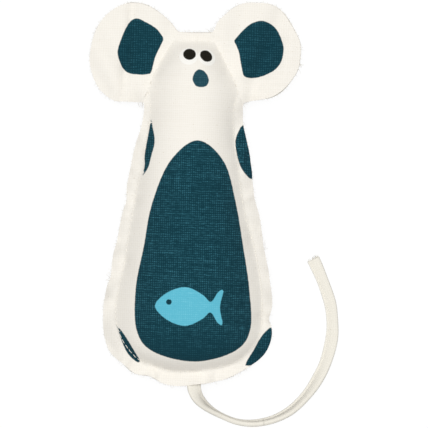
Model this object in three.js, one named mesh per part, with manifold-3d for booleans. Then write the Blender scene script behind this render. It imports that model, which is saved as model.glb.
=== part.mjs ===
// A catnip mouse: a flat stuffed toy of printed cotton canvas. Two panels are sewn together on a stitch
// line that leaves a raw flange outside it, and hold two wads of fibre with dried catnip between them.
// The round ears are unstuffed flaps of both panels, and the tail is a folded tape caught in the seam.
// Millimetres, +Z up. The toy lies on its back: the printed front faces +Z and the head points to +Y.
// The origin is on the surface that it lies on, in the middle of the cloth outline.
import * as THREE from "three";
import { mergeVertices } from "three/addons/utils/BufferGeometryUtils.js";
import Module from "manifold-3d";

// Cut outline of the panels. A height is measured up from the bottom raw edge, and a drop is measured
// down from the raw edge between the ears.
const BODY_LENGTH = 138; // from one of these edges to the other
const HIP_WIDTH = 66.4;
const HIP_HEIGHT = 25;
const NECK_WIDTH = 39; // between the notches under the ears
const NECK_DROP = 27.3;
const HEAD_EDGE_WIDTH = 13.6; // between the notches over the ears
const BOTTOM_HANDLE = 17; // how far the bottom edge runs flat from its middle
const CORNER_HANDLE = 18; // how far the side runs straight down below the hip
const HIP_HANDLE = 20; // how far the side runs straight up above the hip
const NECK_HANDLE = 26; // how far the side runs straight down below the neck
const NECK_FLARE = 3; // how far the side moves out over that run

// Ears
const EAR_RADIUS = 19.2;
const EAR_SPACING = 45.2; // between the middles of the two ears
const EAR_DROP = 7.2; // to the middle of an ear
const EAR_LOWER_ANGLE = -75; // degrees on the round edge where the straight run to the lower notch starts
const EAR_UPPER_ANGLE = 140; // degrees on the round edge where the straight run to the upper notch starts

// Canvas and seam
const CLOTH = 0.7;
const BOTTOM_ALLOWANCE = 6; // from the raw edge to the stitch line
const SIDE_ALLOWANCE = 4.5;
const NECK_ALLOWANCE = 3;
const HEAD_ALLOWANCE = 4;
const EAR_ALLOWANCE = 2.2; // from the ear's fold line to the stitch line
const THREAD_RADIUS = 0.25;
const THREAD_OFFSET = 0.7; // thread outside the foot of the stuffed pocket
const CLOSING_START = 44; // along the stitch line from the middle of the bottom
const CLOSING_LENGTH = 30; // the gap through which the toy was stuffed

// Stuffed form
const FRONT_HIP_PUFF = 14;
const FRONT_HEAD_PUFF = 9;
const BACK_HIP_PUFF = 11;
const BACK_HEAD_PUFF = 7.5;
const REST_FLAT = 0.5; // depth by which lying flattens the back
const RIDGE_HEIGHT = 33; // where the crest of the stuffed form starts
const RIDGE_DROP = 20; // where it ends
const BACK_SLOPE_DROP = 53; // where the back starts to thin towards the head
const CROWN = 0.8; // 1 is a parabola across the form, less is fuller
const CATNIP_LENGTH = 30;
const CATNIP_WIDTH = 22;
const CATNIP_THICKNESS = 8;
const CATNIP_HEIGHT = 45; // to the middle of the catnip

// Tail tape
const TAPE_WIDTH = 5;
const TAPE_THICKNESS = 1.5;
const TAIL_OFFSET = 3.3; // where the tape leaves the bottom edge, from the middle
const TAIL_TUCK = 3; // how far the tape reaches past the stitch line
const TAPE_HEM = 1; // from the tape's edge to its line of stitches
const TAIL_PINCH = 2.4; // half length of the narrowed stretch where the tape bends
const TAIL_PINCH_SHARE = 0.12; // how much of its width is left in the bend
const SLACK_AT_TAPE = 2; // how far the parted flange stays parted beside the tape
const SLACK_RUN = 6; // how far it then takes to close again

// Clearances
const CLEARANCE = 0.3; // between neighbouring pieces
const FOLD_CLEARANCE = 0.2; // from an ear's fold line to the cloth on either side of it
const BEND_CLEARANCE = 0.15; // from a bend of the tail to the tape on either side of it

// Number of facets
const BOTTOM_STEPS = 10;
const SIDE_STEPS = 11;
const EAR_ROOT_STEPS = 5;
const HEAD_STEPS = 2;
const EAR_ARC_STEPS = 26;
const THREAD_SIDES = 5;
const SEAM_THREAD_STEPS = 76;
const CLOSING_THREAD_STEPS = 10;
const TAPE_STEPS = 2; // between two points of the tail's route
const CATNIP_SEGMENTS = 18;
const CATNIP_RINGS = 10;

// Places that follow from the sizes
const bottomY = -(BODY_LENGTH - EAR_DROP + EAR_RADIUS) / 2;
const headY = bottomY + BODY_LENGTH;
const ridgeLow = bottomY + RIDGE_HEIGHT;
const ridgeHigh = headY - RIDGE_DROP;
const plyInner = CLEARANCE / 2; // inner and outer face of a ply, from the seam plane
const plyOuter = plyInner + CLOTH;
const seamHeight = plyOuter + BACK_HIP_PUFF - REST_FLAT;
const headCorner = new THREE.Vector2(HEAD_EDGE_WIDTH / 2, headY);
const neckCorner = new THREE.Vector2(NECK_WIDTH / 2, headY - NECK_DROP);
const foldDirection = neckCorner.clone().sub(headCorner).normalize();
const foldNormal = new THREE.Vector2(-foldDirection.y, foldDirection.x); // from the head into the ear

const wasm = await Module();
wasm.setup();

const canvas = new THREE.MeshStandardMaterial({ color: 0xf3efe6, roughness: 0.95, metalness: 0 });
const thread = new THREE.MeshStandardMaterial({ color: 0xeae4d6, roughness: 0.8, metalness: 0 });
const tape = new THREE.MeshStandardMaterial({ color: 0xeeeade, roughness: 0.95, metalness: 0 });
const fibre = new THREE.MeshStandardMaterial({ color: 0xf7f6f2, roughness: 1, metalness: 0 });
const catnip = new THREE.MeshStandardMaterial({ color: 0x7c8450, roughness: 1, metalness: 0 });

// Where the line through p along d crosses the line through q along e
function crossing(p, d, q, e) {
  const reach = q.clone().sub(p).cross(e) / d.cross(e);
  return p.clone().addScaledVector(d, reach);
}

// The body's outline drawn in from the cut edge, as a closed loop from the middle of the bottom.
// It has the same number of points for every inset, so two such loops can be joined point to point.
function bodyLoop(inset) {
  const down = new THREE.Vector2(NECK_FLARE, -NECK_HANDLE);
  const sideDirection = down.clone().normalize();
  const sideInward = new THREE.Vector2(sideDirection.y, -sideDirection.x);
  const rootPoint = neckCorner.clone().addScaledVector(foldNormal, -inset.ear);
  const sidePoint = neckCorner.clone().addScaledVector(sideInward, inset.neck);
  const bottom = new THREE.Vector2(0, bottomY + inset.bottom);
  const hip = new THREE.Vector2(HIP_WIDTH / 2 - inset.side, bottomY + HIP_HEIGHT);
  const neck = crossing(rootPoint, foldDirection, sidePoint, sideDirection);
  const middle = new THREE.Vector2(0, headY - inset.head);
  const head = crossing(rootPoint, foldDirection, middle, new THREE.Vector2(1, 0));
  const bottomHandle = (BOTTOM_HANDLE * hip.x) / (HIP_WIDTH / 2);
  const cornerHandle = (CORNER_HANDLE * (hip.y - bottom.y)) / HIP_HEIGHT;
  const corner = new THREE.CubicBezierCurve(
    bottom,
    new THREE.Vector2(bottomHandle, bottom.y),
    new THREE.Vector2(hip.x, hip.y - cornerHandle),
    hip,
  );
  const side = new THREE.CubicBezierCurve(
    hip,
    new THREE.Vector2(hip.x, hip.y + HIP_HANDLE),
    neck.clone().add(down),
    neck,
  );
  const half = [
    ...corner.getPoints(BOTTOM_STEPS).slice(0, -1),
    ...side.getPoints(SIDE_STEPS).slice(0, -1),
    ...new THREE.LineCurve(neck, head).getPoints(EAR_ROOT_STEPS).slice(0, -1),
    ...new THREE.LineCurve(head, middle).getPoints(HEAD_STEPS),
  ];
  const otherHalf = half.slice(1, -1).reverse();
  return [...half, ...otherHalf.map((point) => new THREE.Vector2(-point.x, point.y))];
}

const stitchLoop = bodyLoop({
  bottom: BOTTOM_ALLOWANCE,
  side: SIDE_ALLOWANCE,
  neck: NECK_ALLOWANCE,
  head: HEAD_ALLOWANCE,
  ear: EAR_ALLOWANCE,
});

// The cut edge on one face of a ply. At the ears' roots it is bevelled, so that an ear can stand upright.
function cutLoop(faceHeight) {
  return bodyLoop({ bottom: 0, side: 0, neck: 0, head: 0, ear: FOLD_CLEARANCE + faceHeight });
}

// How far each panel is parted from the seam plane by the tape that lies between them
function parting(x, y) {
  const beside = TAPE_WIDTH / 2 + SLACK_AT_TAPE;
  const stitchY = bottomY + BOTTOM_ALLOWANCE;
  const across = THREE.MathUtils.smoothstep(Math.abs(x - TAIL_OFFSET), beside, beside + SLACK_RUN);
  const along = THREE.MathUtils.smoothstep(y, stitchY + TAIL_TUCK, stitchY + TAIL_TUCK + SLACK_RUN);
  return (TAPE_THICKNESS / 2 + CLEARANCE / 2) * (1 - across) * (1 - along);
}

// Rings of the stuffed form, as shares of the way from its crest to the stitch line
const DOME_RINGS = [0, 0.2, 0.45, 0.68, 0.86, 0.95, 1];
const STUFFING_RINGS = DOME_RINGS.slice(0, -2); // the fibre does not reach into the seam

// Rise of the panel's face over the seam plane at a share of the way from its crest
function frontRise(crestY, share) {
  const towardsHead = THREE.MathUtils.smoothstep(crestY, ridgeLow, ridgeHigh);
  const puff = THREE.MathUtils.lerp(FRONT_HIP_PUFF, FRONT_HEAD_PUFF, towardsHead);
  return plyOuter + puff * (1 - share ** 2) ** CROWN;
}

function backDrop(crestY, share) {
  const towardsHead = THREE.MathUtils.smoothstep(crestY, headY - BACK_SLOPE_DROP, ridgeHigh);
  const puff = THREE.MathUtils.lerp(BACK_HIP_PUFF, BACK_HEAD_PUFF, towardsHead);
  return Math.min(plyOuter + puff * (1 - share ** 2) ** CROWN, seamHeight);
}

// One ring of the stuffed form, at a distance inside the panel's outer face.
// The side is 1 for the front and -1 for the back.
function domeRing(share, side, depth) {
  return stitchLoop.map((stitch) => {
    const crest = new THREE.Vector2(0, THREE.MathUtils.clamp(stitch.y, ridgeLow, ridgeHigh));
    const place = crest.clone().lerp(stitch, share);
    const rise = side > 0 ? frontRise(crest.y, share) : backDrop(crest.y, share);
    const height = side * (rise - depth + parting(place.x, place.y));
    return new THREE.Vector3(place.x, place.y, seamHeight + height);
  });
}

function edgeRing(faceHeight, side) {
  return cutLoop(faceHeight).map((place) => {
    const height = side * (faceHeight + parting(place.x, place.y));
    return new THREE.Vector3(place.x, place.y, seamHeight + height);
  });
}

// A closed surface over a row of loops with equal point counts. The first and last loop are drawn
// together to a point or a line, where faces without width are left out.
function skin(loops) {
  const corners = [];
  const addFace = (a, b, c) => {
    if (a.equals(b) || b.equals(c) || c.equals(a)) {
      return;
    }
    corners.push(a, b, c);
  };
  for (let row = 0; row + 1 < loops.length; row++) {
    const near = loops[row];
    const far = loops[row + 1];
    near.forEach((point, i) => {
      const next = (i + 1) % near.length;
      addFace(point, far[i], far[next]);
      addFace(point, far[next], near[next]);
    });
  }
  let volume = 0;
  for (let i = 0; i < corners.length; i += 3) {
    volume += corners[i].dot(corners[i + 1].clone().cross(corners[i + 2]));
  }
  if (volume < 0) {
    corners.reverse();
  }
  return mergeVertices(new THREE.BufferGeometry().setFromPoints(corners));
}

// Every point of a loop moved to the loop's middle, which closes the end of a skin
function drawnTogether(loop) {
  const middle = new THREE.Vector3();
  loop.forEach((point) => middle.addScaledVector(point, 1 / loop.length));
  return loop.map(() => middle);
}

function solidOf(geometry) {
  const bare = new THREE.BufferGeometry().setAttribute("position", geometry.getAttribute("position"));
  const merged = mergeVertices(geometry.index ? bare.setIndex(geometry.index) : bare);
  const mesh = new wasm.Mesh({
    numProp: 3,
    vertProperties: new Float32Array(merged.attributes.position.array),
    triVerts: new Uint32Array(merged.index.array),
  });
  return new wasm.Manifold(mesh);
}

function geometryOf(solid) {
  const mesh = solid.getMesh();
  return new THREE.BufferGeometry()
    .setAttribute("position", new THREE.BufferAttribute(mesh.vertProperties, 3))
    .setIndex(new THREE.BufferAttribute(mesh.triVerts, 1));
}

// A canvas panel: its stuffed dome and the flange outside the stitch line
function panel(side) {
  const outside = DOME_RINGS.map((share) => domeRing(share, side, 0));
  const inside = DOME_RINGS.map((share) => domeRing(share, side, CLOTH)).reverse();
  return skin([...outside, edgeRing(plyOuter, side), edgeRing(plyInner, side), ...inside]);
}

// A flattened ball of catnip, in the middle of the stuffed pocket
function catnipBall(extra) {
  return new THREE.SphereGeometry(1, CATNIP_SEGMENTS, CATNIP_RINGS)
    .rotateX(Math.PI / 2)
    .scale(CATNIP_WIDTH / 2 + extra, CATNIP_LENGTH / 2 + extra, CATNIP_THICKNESS / 2 + extra)
    .translate(0, bottomY + CATNIP_HEIGHT, seamHeight);
}

// A wad of fibre that fills one panel's dome, hollowed where the catnip lies
function wad(side) {
  const dome = STUFFING_RINGS.map((share) => domeRing(share, side, CLOTH + CLEARANCE));
  const facing = (loop) => loop.map((p) => new THREE.Vector3(p.x, p.y, seamHeight + side * plyInner));
  const body = skin([...dome, facing(dome.at(-1)), facing(dome[0])]);
  return geometryOf(solidOf(body).subtract(solidOf(catnipBall(CLEARANCE))));
}

// One ply of an ear, from the fold line to its round edge. The hand is 1 for the ear at +X.
function earPly(hand, side) {
  const middle = new THREE.Vector2(EAR_SPACING / 2, headY - EAR_DROP);
  const round = new THREE.EllipseCurve(
    middle.x,
    middle.y,
    EAR_RADIUS,
    EAR_RADIUS,
    THREE.MathUtils.degToRad(EAR_LOWER_ANGLE),
    THREE.MathUtils.degToRad(EAR_UPPER_ANGLE),
  );
  const outline = (faceHeight) => {
    const back = FOLD_CLEARANCE + faceHeight;
    const lower = neckCorner.clone().addScaledVector(foldNormal, back);
    const upper = headCorner.clone().addScaledVector(foldNormal, back);
    const points = [lower, ...round.getPoints(EAR_ARC_STEPS), upper];
    return points.map((p) => new THREE.Vector3(hand * p.x, p.y, seamHeight + side * faceHeight));
  };
  const inner = outline(plyInner);
  const outer = outline(plyOuter);
  return skin([drawnTogether(inner), inner, outer, drawnTogether(outer)]);
}

// A thread as a thin rod along a smooth curve through the points
function threadAlong(points, steps) {
  const corner = (i) => {
    const turn = (2 * Math.PI * i) / THREAD_SIDES;
    return new THREE.Vector2(Math.cos(turn), Math.sin(turn)).multiplyScalar(THREAD_RADIUS);
  };
  const section = new THREE.Shape(Array.from({ length: THREAD_SIDES }, (_, i) => corner(i)));
  const extrudePath = new THREE.CatmullRomCurve3(points);
  return new THREE.ExtrudeGeometry(section, { steps, extrudePath, bevelEnabled: false });
}

// The line of stitches on one side of the seam, outside the foot of the pocket, as a closed curve
function seamCurve(side) {
  const cut = cutLoop(plyOuter);
  const lie = plyOuter + CLEARANCE + THREAD_RADIUS;
  const points = stitchLoop.map((stitch, i) => {
    const outwards = cut[i].clone().sub(stitch).normalize();
    const place = stitch.clone().addScaledVector(outwards, THREAD_OFFSET);
    const height = side * (lie + parting(place.x, place.y));
    return new THREE.Vector3(place.x, place.y, seamHeight + height);
  });
  return new THREE.CatmullRomCurve3(points, true);
}

// A stretch of that line, measured along it from the middle of the bottom
function seamThread(curve, from, to, steps) {
  const length = curve.getLength();
  const points = Array.from({ length: steps + 1 }, (_, i) => {
    const at = THREE.MathUtils.lerp(from, to, i / steps);
    return curve.getPointAt(THREE.MathUtils.euclideanModulo(at, length) / length);
  });
  return threadAlong(points, steps);
}

// The tail's route: across and along from where the tape leaves the bottom edge, the height of its
// middle line over the surface, and its twist in degrees, which lifts the edge on its left.
const TAIL_ROUTE = [
  [-0.1, BOTTOM_ALLOWANCE + TAIL_TUCK, seamHeight, 0],
  [-0.1, 5.4, seamHeight, 0],
  [0, 2.3, seamHeight, 0],
  [0, 0, seamHeight, 0],
  [0.7, -2.7, 10.3, 6],
  [2.5, -5.6, 7.9, 25],
  [5.7, -8.8, 5, 46],
  [10.9, -11.6, 3, 58],
  [17.6, -13.8, 2.6, 62],
  [24.2, -13.8, 2.6, 62],
  [30.8, -12, 2.6, 60],
  [36.2, -8.6, 2.5, 56],
  [40.4, -5, 2.4, 50],
  [44, -0.8, 2.2, 42],
  [46.8, 3.6, 2, 32],
  [49.2, 8.7, 1.7, 22],
  [51.1, 14.6, 1.4, 14],
  [52.5, 20.5, 1.2, 9],
  [53.2, 26.8, 1.1, 6],
  [52.2, 33, 1.1, 6],
  [50.1, 39.2, 1, 5],
  [47.4, 45.3, 0.95, 3],
  [44.7, 50.5, 0.9, 0],
];
const TAIL_LEAVES_AT = 4; // first point of the route that is clear of the flange
const TAIL_SWING_AT = 7; // points of the route at which the tail bends
const TAIL_CURL_AT = 12;
const TAIL_END_AT = TAIL_ROUTE.length - 1;
const STITCH_MARGIN = 0.5; // part of a step of the route that has no stitches beside a bend
const TIP_MARGIN = 0.2; // the same at the tail's end

const tailLine = new THREE.CatmullRomCurve3(
  TAIL_ROUTE.map(([across, along, height]) => {
    return new THREE.Vector3(TAIL_OFFSET + across, bottomY + along, height);
  }),
);

// Place and directions of the tape at a point of the route, which may lie between two of its points
function tapeFrame(at) {
  const share = at / TAIL_END_AT;
  const along = tailLine.getTangent(share);
  const flat = new THREE.Vector3(-along.y, along.x, 0).normalize();
  const up = along.clone().cross(flat);
  const before = Math.floor(Math.min(at, TAIL_END_AT - 1));
  const twist = THREE.MathUtils.lerp(TAIL_ROUTE[before][3], TAIL_ROUTE[before + 1][3], at - before);
  const turn = THREE.MathUtils.degToRad(twist);
  const width = flat.clone().multiplyScalar(Math.cos(turn)).addScaledVector(up, Math.sin(turn));
  const thickness = along.clone().cross(width);
  return { middle: tailLine.getPoint(share), along, flat, width, thickness };
}

// Corners of the tape's section, whose edges are folded round
const FOLD_CORNER = TAPE_THICKNESS / 3;
const TAPE_SECTION = [
  [TAPE_WIDTH / 2, TAPE_THICKNESS / 2 - FOLD_CORNER],
  [TAPE_WIDTH / 2 - FOLD_CORNER, TAPE_THICKNESS / 2],
  [-TAPE_WIDTH / 2 + FOLD_CORNER, TAPE_THICKNESS / 2],
  [-TAPE_WIDTH / 2, TAPE_THICKNESS / 2 - FOLD_CORNER],
  [-TAPE_WIDTH / 2, -TAPE_THICKNESS / 2 + FOLD_CORNER],
  [-TAPE_WIDTH / 2 + FOLD_CORNER, -TAPE_THICKNESS / 2],
  [TAPE_WIDTH / 2 - FOLD_CORNER, -TAPE_THICKNESS / 2],
  [TAPE_WIDTH / 2, -TAPE_THICKNESS / 2 + FOLD_CORNER],
];

function tapeRing(at) {
  const { middle, width, thickness } = tapeFrame(at);
  return TAPE_SECTION.map(([across, over]) => {
    return middle.clone().addScaledVector(width, across).addScaledVector(thickness, over);
  });
}

// The ring of the tape at a bend, moved back from the bend's upright axis by a distance along the
// route and narrowed sideways, so that the two stretches can turn against each other there
function bendRing(at, back, share) {
  const { middle, along, flat } = tapeFrame(at);
  const level = new THREE.Vector3(along.x, along.y, 0).normalize();
  return tapeRing(at).map((corner) => {
    const offset = corner.clone().sub(middle);
    const side = offset.dot(flat);
    const ahead = offset.dot(level);
    return corner.addScaledVector(flat, side * (share - 1)).addScaledVector(level, -back - ahead);
  });
}

// A stretch of the tape between two points of its route, pinched at each end that is a bend
function tapeStretch(from, to) {
  const rings = [];
  const isBend = (at) => at === TAIL_SWING_AT || at === TAIL_CURL_AT;
  if (isBend(from)) {
    rings.push(bendRing(from, -BEND_CLEARANCE, TAIL_PINCH_SHARE), bendRing(from, -TAIL_PINCH, 1));
  } else {
    rings.push(tapeRing(from));
  }
  for (let step = 1; step < (to - from) * TAPE_STEPS; step++) {
    rings.push(tapeRing(from + step / TAPE_STEPS));
  }
  if (isBend(to)) {
    rings.push(bendRing(to, TAIL_PINCH, 1), bendRing(to, BEND_CLEARANCE, TAIL_PINCH_SHARE));
  } else {
    rings.push(tapeRing(to));
  }
  return skin([drawnTogether(rings[0]), ...rings, drawnTogether(rings.at(-1))]);
}

// The stitches along one edge of the tape, on its upper face
function tapeThread(from, to) {
  const count = Math.round((to - from) * TAPE_STEPS);
  const points = Array.from({ length: count + 1 }, (_, i) => {
    const { middle, width, thickness } = tapeFrame(THREE.MathUtils.lerp(from, to, i / count));
    const over = TAPE_THICKNESS / 2 + CLEARANCE + THREAD_RADIUS;
    return middle.addScaledVector(width, TAPE_WIDTH / 2 - TAPE_HEM).addScaledVector(thickness, over);
  });
  return threadAlong(points, count);
}

const catnipMouse = new THREE.Group();

function place(name, geometry, material) {
  const mesh = new THREE.Mesh(geometry, material);
  mesh.name = name;
  catnipMouse.add(mesh);
}

// Stuffed body
place("back_panel", panel(-1), canvas);
place("back_stuffing", wad(-1), fibre);
place("catnip_fill", catnipBall(0), catnip);
place("front_stuffing", wad(1), fibre);
place("front_panel", panel(1), canvas);

// Stitches: the needle's thread on the front and the bobbin's on the back, each in two runs
const closingEnd = CLOSING_START + CLOSING_LENGTH;
for (const [name, side] of [["needle", 1], ["bobbin", -1]]) {
  const curve = seamCurve(side);
  const seamEnd = curve.getLength() + CLOSING_START - CLEARANCE;
  const seam = seamThread(curve, closingEnd + CLEARANCE, seamEnd, SEAM_THREAD_STEPS);
  const closing = seamThread(curve, CLOSING_START, closingEnd, CLOSING_THREAD_STEPS);
  place(`seam_${name}_thread`, seam, thread);
  place(`closing_${name}_thread`, closing, thread);
}

// Ears, left and right as seen from the front
for (const [name, hand] of [["left", -1], ["right", 1]]) {
  place(`${name}_ear_front`, earPly(hand, 1), canvas);
  place(`${name}_ear_back`, earPly(hand, -1), canvas);
}

// Tail
place("tail_root", tapeStretch(0, TAIL_SWING_AT), tape);
place("tail_middle", tapeStretch(TAIL_SWING_AT, TAIL_CURL_AT), tape);
place("tail_tip", tapeStretch(TAIL_CURL_AT, TAIL_END_AT), tape);
place("tail_root_thread", tapeThread(TAIL_LEAVES_AT, TAIL_SWING_AT - STITCH_MARGIN), thread);
place("tail_middle_thread", tapeThread(TAIL_SWING_AT + STITCH_MARGIN, TAIL_CURL_AT - STITCH_MARGIN), thread);
place("tail_tip_thread", tapeThread(TAIL_CURL_AT + STITCH_MARGIN, TAIL_END_AT - TIP_MARGIN), thread);

export default catnipMouse;
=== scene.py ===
import math
import random
import bpy
import numpy as np
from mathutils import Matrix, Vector
from mathutils.bvhtree import BVHTree
from mathutils.geometry import delaunay_2d_cdt


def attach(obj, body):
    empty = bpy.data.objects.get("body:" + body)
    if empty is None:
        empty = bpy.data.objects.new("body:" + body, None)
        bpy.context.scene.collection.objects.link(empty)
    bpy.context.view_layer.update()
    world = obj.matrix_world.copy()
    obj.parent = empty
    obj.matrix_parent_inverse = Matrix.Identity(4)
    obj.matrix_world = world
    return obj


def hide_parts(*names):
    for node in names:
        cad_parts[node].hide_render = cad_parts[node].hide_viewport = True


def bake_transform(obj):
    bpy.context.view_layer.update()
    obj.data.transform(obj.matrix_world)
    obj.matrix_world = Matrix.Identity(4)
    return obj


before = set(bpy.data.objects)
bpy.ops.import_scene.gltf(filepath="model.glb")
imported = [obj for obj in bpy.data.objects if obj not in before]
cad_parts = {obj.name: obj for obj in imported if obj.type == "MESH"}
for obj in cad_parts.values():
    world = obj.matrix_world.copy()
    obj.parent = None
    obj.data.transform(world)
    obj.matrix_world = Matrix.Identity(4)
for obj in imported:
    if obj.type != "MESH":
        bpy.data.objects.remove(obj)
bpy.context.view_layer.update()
bpy.ops.object.select_all(action="DESELECT")
MM = 0.001


# Table and light
# The toy lies on a white table top and is seen from straight above, a little turned in the frame.
# One broad soft lamp hangs above it, and pale surroundings fill the shade.
PHOTO_WIDTH = 166.9 * MM
PHOTO_MIDDLE = (9.34 * MM, -7.75 * MM)
PHOTO_TURN = math.radians(1.54)
SEAM_HEIGHT = 11.35 * MM
CAMERA_DISTANCE = 2.4
SENSOR = 36.0
bpy.ops.object.camera_add(
    location=(PHOTO_MIDDLE[0], PHOTO_MIDDLE[1], SEAM_HEIGHT + CAMERA_DISTANCE),
    rotation=(0, 0, PHOTO_TURN),
)
camera = bpy.context.object
camera.name = "camera"
camera.data.sensor_width = SENSOR
camera.data.lens = SENSOR * CAMERA_DISTANCE / PHOTO_WIDTH
camera.data.clip_start = 0.05
bpy.context.scene.camera = camera
bpy.context.scene.view_settings.view_transform = "Standard"

LAMP_PLACE = Vector((-0.15, 0.25, 3.0))
LAMP_SIZE = 2.0
LAMP_POWER = 65.0
FILL_STRENGTH = 0.41
bpy.ops.object.light_add(type="AREA", location=LAMP_PLACE)
lamp = bpy.context.object
lamp.name = "overhead_lamp"
lamp.data.size = LAMP_SIZE
lamp.data.energy = LAMP_POWER
lamp.rotation_euler = (-LAMP_PLACE).to_track_quat("-Z", "Y").to_euler()


def linear(code):
    """A colour written as sRGB hex, as the linear RGBA that Blender's sockets take."""
    shares = [int(code[i : i + 2], 16) / 255 for i in (1, 3, 5)]
    return [s / 12.92 if s <= 0.04045 else ((s + 0.055) / 1.055) ** 2.4 for s in shares] + [1.0]


def add_node(tree, kind, settings=(), inputs=()):
    """A node with its settings, and its sockets linked or set."""
    node = tree.nodes.new(kind)
    for name, value in dict(settings).items():
        setattr(node, name, value)
    for name, value in dict(inputs).items():
        if isinstance(value, bpy.types.NodeSocket):
            tree.links.new(value, node.inputs[name])
        else:
            node.inputs[name].default_value = value
    return node


def seen_directly(tree):
    """A factor that is 1 to the camera, in reflections and through clear things, and else 0."""
    ray = add_node(tree, "ShaderNodeLightPath").outputs
    seen = ray["Is Camera Ray"]
    for other in ("Is Glossy Ray", "Is Transmission Ray"):
        either = add_node(tree, "ShaderNodeMath", {"operation": "MAXIMUM"}, {0: seen, 1: ray[other]})
        seen = either.outputs[0]
    return seen


def bare_material(name):
    """A new material with no nodes in it, and its node tree."""
    material = bpy.data.materials.new(name)
    material.use_nodes = True
    material.node_tree.nodes.clear()
    return material, material.node_tree


# White to the camera and in reflections, and a soft grey fill to everything else
world = bpy.data.worlds.new("pale_surroundings")
bpy.context.scene.world = world
world.use_nodes = True
tree = world.node_tree
tree.nodes.clear()
level = add_node(
    tree,
    "ShaderNodeMapRange",
    {},
    {"Value": seen_directly(tree), "To Min": FILL_STRENGTH, "To Max": 1.0},
)
glow = add_node(
    tree, "ShaderNodeBackground", {}, {"Color": linear("#ffffff"), "Strength": level.outputs[0]}
)
add_node(tree, "ShaderNodeOutputWorld", {}, {"Surface": glow.outputs[0]})

# Painted table top, matt white. To the camera part of its white is its own glow, so that it stays
# white in the picture and still takes the toy's shadow. What it throws back on the toy is dimmer.
TABLE_SIZE = 6.0
TABLE_GLOW = 0.915
TABLE_SHADE = 0.115
TABLE_GAP = 0.2 * MM  # keeps the cloth that lies on it clear of it
bpy.ops.mesh.primitive_plane_add(size=TABLE_SIZE, location=(0, 0, -TABLE_GAP))
bpy.ops.object.transform_apply(location=True, rotation=True, scale=True)
table = bpy.context.object
table.name = "table_top"
white_paint, tree = bare_material("matt_white_paint")
plain = add_node(tree, "ShaderNodeBsdfDiffuse", {}, {"Color": linear("#b4b4b4")})
shaded = add_node(tree, "ShaderNodeBsdfDiffuse", {}, {"Color": [TABLE_SHADE] * 3 + [1]})
lit = add_node(tree, "ShaderNodeEmission", {}, {"Color": linear("#ffffff"), "Strength": TABLE_GLOW})
shown = add_node(tree, "ShaderNodeAddShader", {}, {0: shaded.outputs[0], 1: lit.outputs[0]})
either = add_node(
    tree, "ShaderNodeMixShader", {}, {0: seen_directly(tree), 1: plain.outputs[0], 2: shown.outputs[0]}
)
add_node(tree, "ShaderNodeOutputMaterial", {}, {"Surface": either.outputs[0]})
table.data.materials.append(white_paint)


# Tail
# A strip of canvas, a little darker than the body's, folded lengthwise into a tape and stitched along
# its open edge. One end is caught in the bottom seam, the other is cut off raw, and it lies limp.
TAPE_WIDTH = 5.0 * MM
TAPE_THICKNESS = 1.5 * MM
TAPE_STEP = 0.7 * MM
TAPE_WAVER = 0.06  # share by which its width varies
WAVER_RUNS = (3.7 * MM, 9.1 * MM)
TAPE_HEM = 1.0 * MM  # from the open edge to the stitches
TAIL_EXIT = (3.3 * MM, -75.0 * MM, SEAM_HEIGHT)
# Across, along and height of the tape's middle in millimetres, and its twist in degrees. A twist below
# nought lifts the folded edge on its right.
TAIL_ROUTE = [
    (3.2, -66.0, 11.35, 0),
    (3.2, -69.6, 11.35, 0),
    (3.3, -72.7, 11.35, 0),
    (3.3, -75.0, 11.35, -4),
    (4.0, -78.0, 10.6, -24),
    (6.0, -81.0, 8.8, -50),
    (9.3, -83.8, 6.3, -76),
    (14.0, -86.5, 4.1, -89),
    (20.5, -88.9, 2.9, -88),
    (27.4, -89.3, 2.7, -82),
    (34.5, -87.7, 2.7, -76),
    (40.7, -84.5, 2.6, -67),
    (45.3, -80.4, 2.5, -56),
    (49.0, -75.8, 2.3, -45),
    (51.7, -71.3, 2.1, -34),
    (54.1, -66.2, 1.8, -24),
    (55.8, -60.5, 1.5, -16),
    (56.9, -54.0, 1.25, -11),
    (56.8, -48.2, 1.1, -7),
    (55.9, -42.0, 1.1, -6),
    (53.9, -36.0, 1.0, -5),
    (51.4, -30.0, 0.95, -3),
    (48.7, -24.4, 0.9, 0),
]
# Places on that route, counted in its points: where the tape has left the seam, and where its two
# stretches meet
TAIL_LEAVES_AT = 4
TAIL_JOIN_AT = 9.5  # where the two stretches of the tape meet
# Half of the folded strip's section, as shares of its width and thickness: the fold is on its right,
# and on its left the two raw edges are lips that gape a little beyond the groove of the stitches
TAPE_SECTION = [
    (-0.50, 0.0),
    (-0.47, 0.30),
    (-0.38, 0.47),
    (-0.10, 0.50),
    (0.20, 0.48),
    (0.28, 0.39),
    (0.31, 0.37),
    (0.35, 0.40),
    (0.44, 0.50),
    (0.49, 0.48),
    (0.505, 0.24),
    (0.47, 0.12),
    (0.41, 0.05),
    (0.34, 0.02),
]
LIP_FROM = 0.31  # share of the width at which the lips begin to gape, and over which they gape fully
LIP_OVER = 0.15
LIP_SPREAD = 0.7  # how much further the upper lip gapes where the tape stands on edge
FOLD_FROM = 0.05  # the same for the fold, which is rounder where the tape stands on edge
FOLD_OVER = 0.3
FOLD_SPREAD = 0.4
TAPE_FULL = 1.04  # share of its width that the tape has in the seam
TAPE_TAPER = 0.1  # share by which it is narrower once it has left the seam
TAPER_FROM = 9.0 * MM
TAPER_OVER = 20.0 * MM
TAPE_STITCH_DEPTH = 0.38  # the stitches lie in the groove, this share of the thickness above its middle


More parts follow.
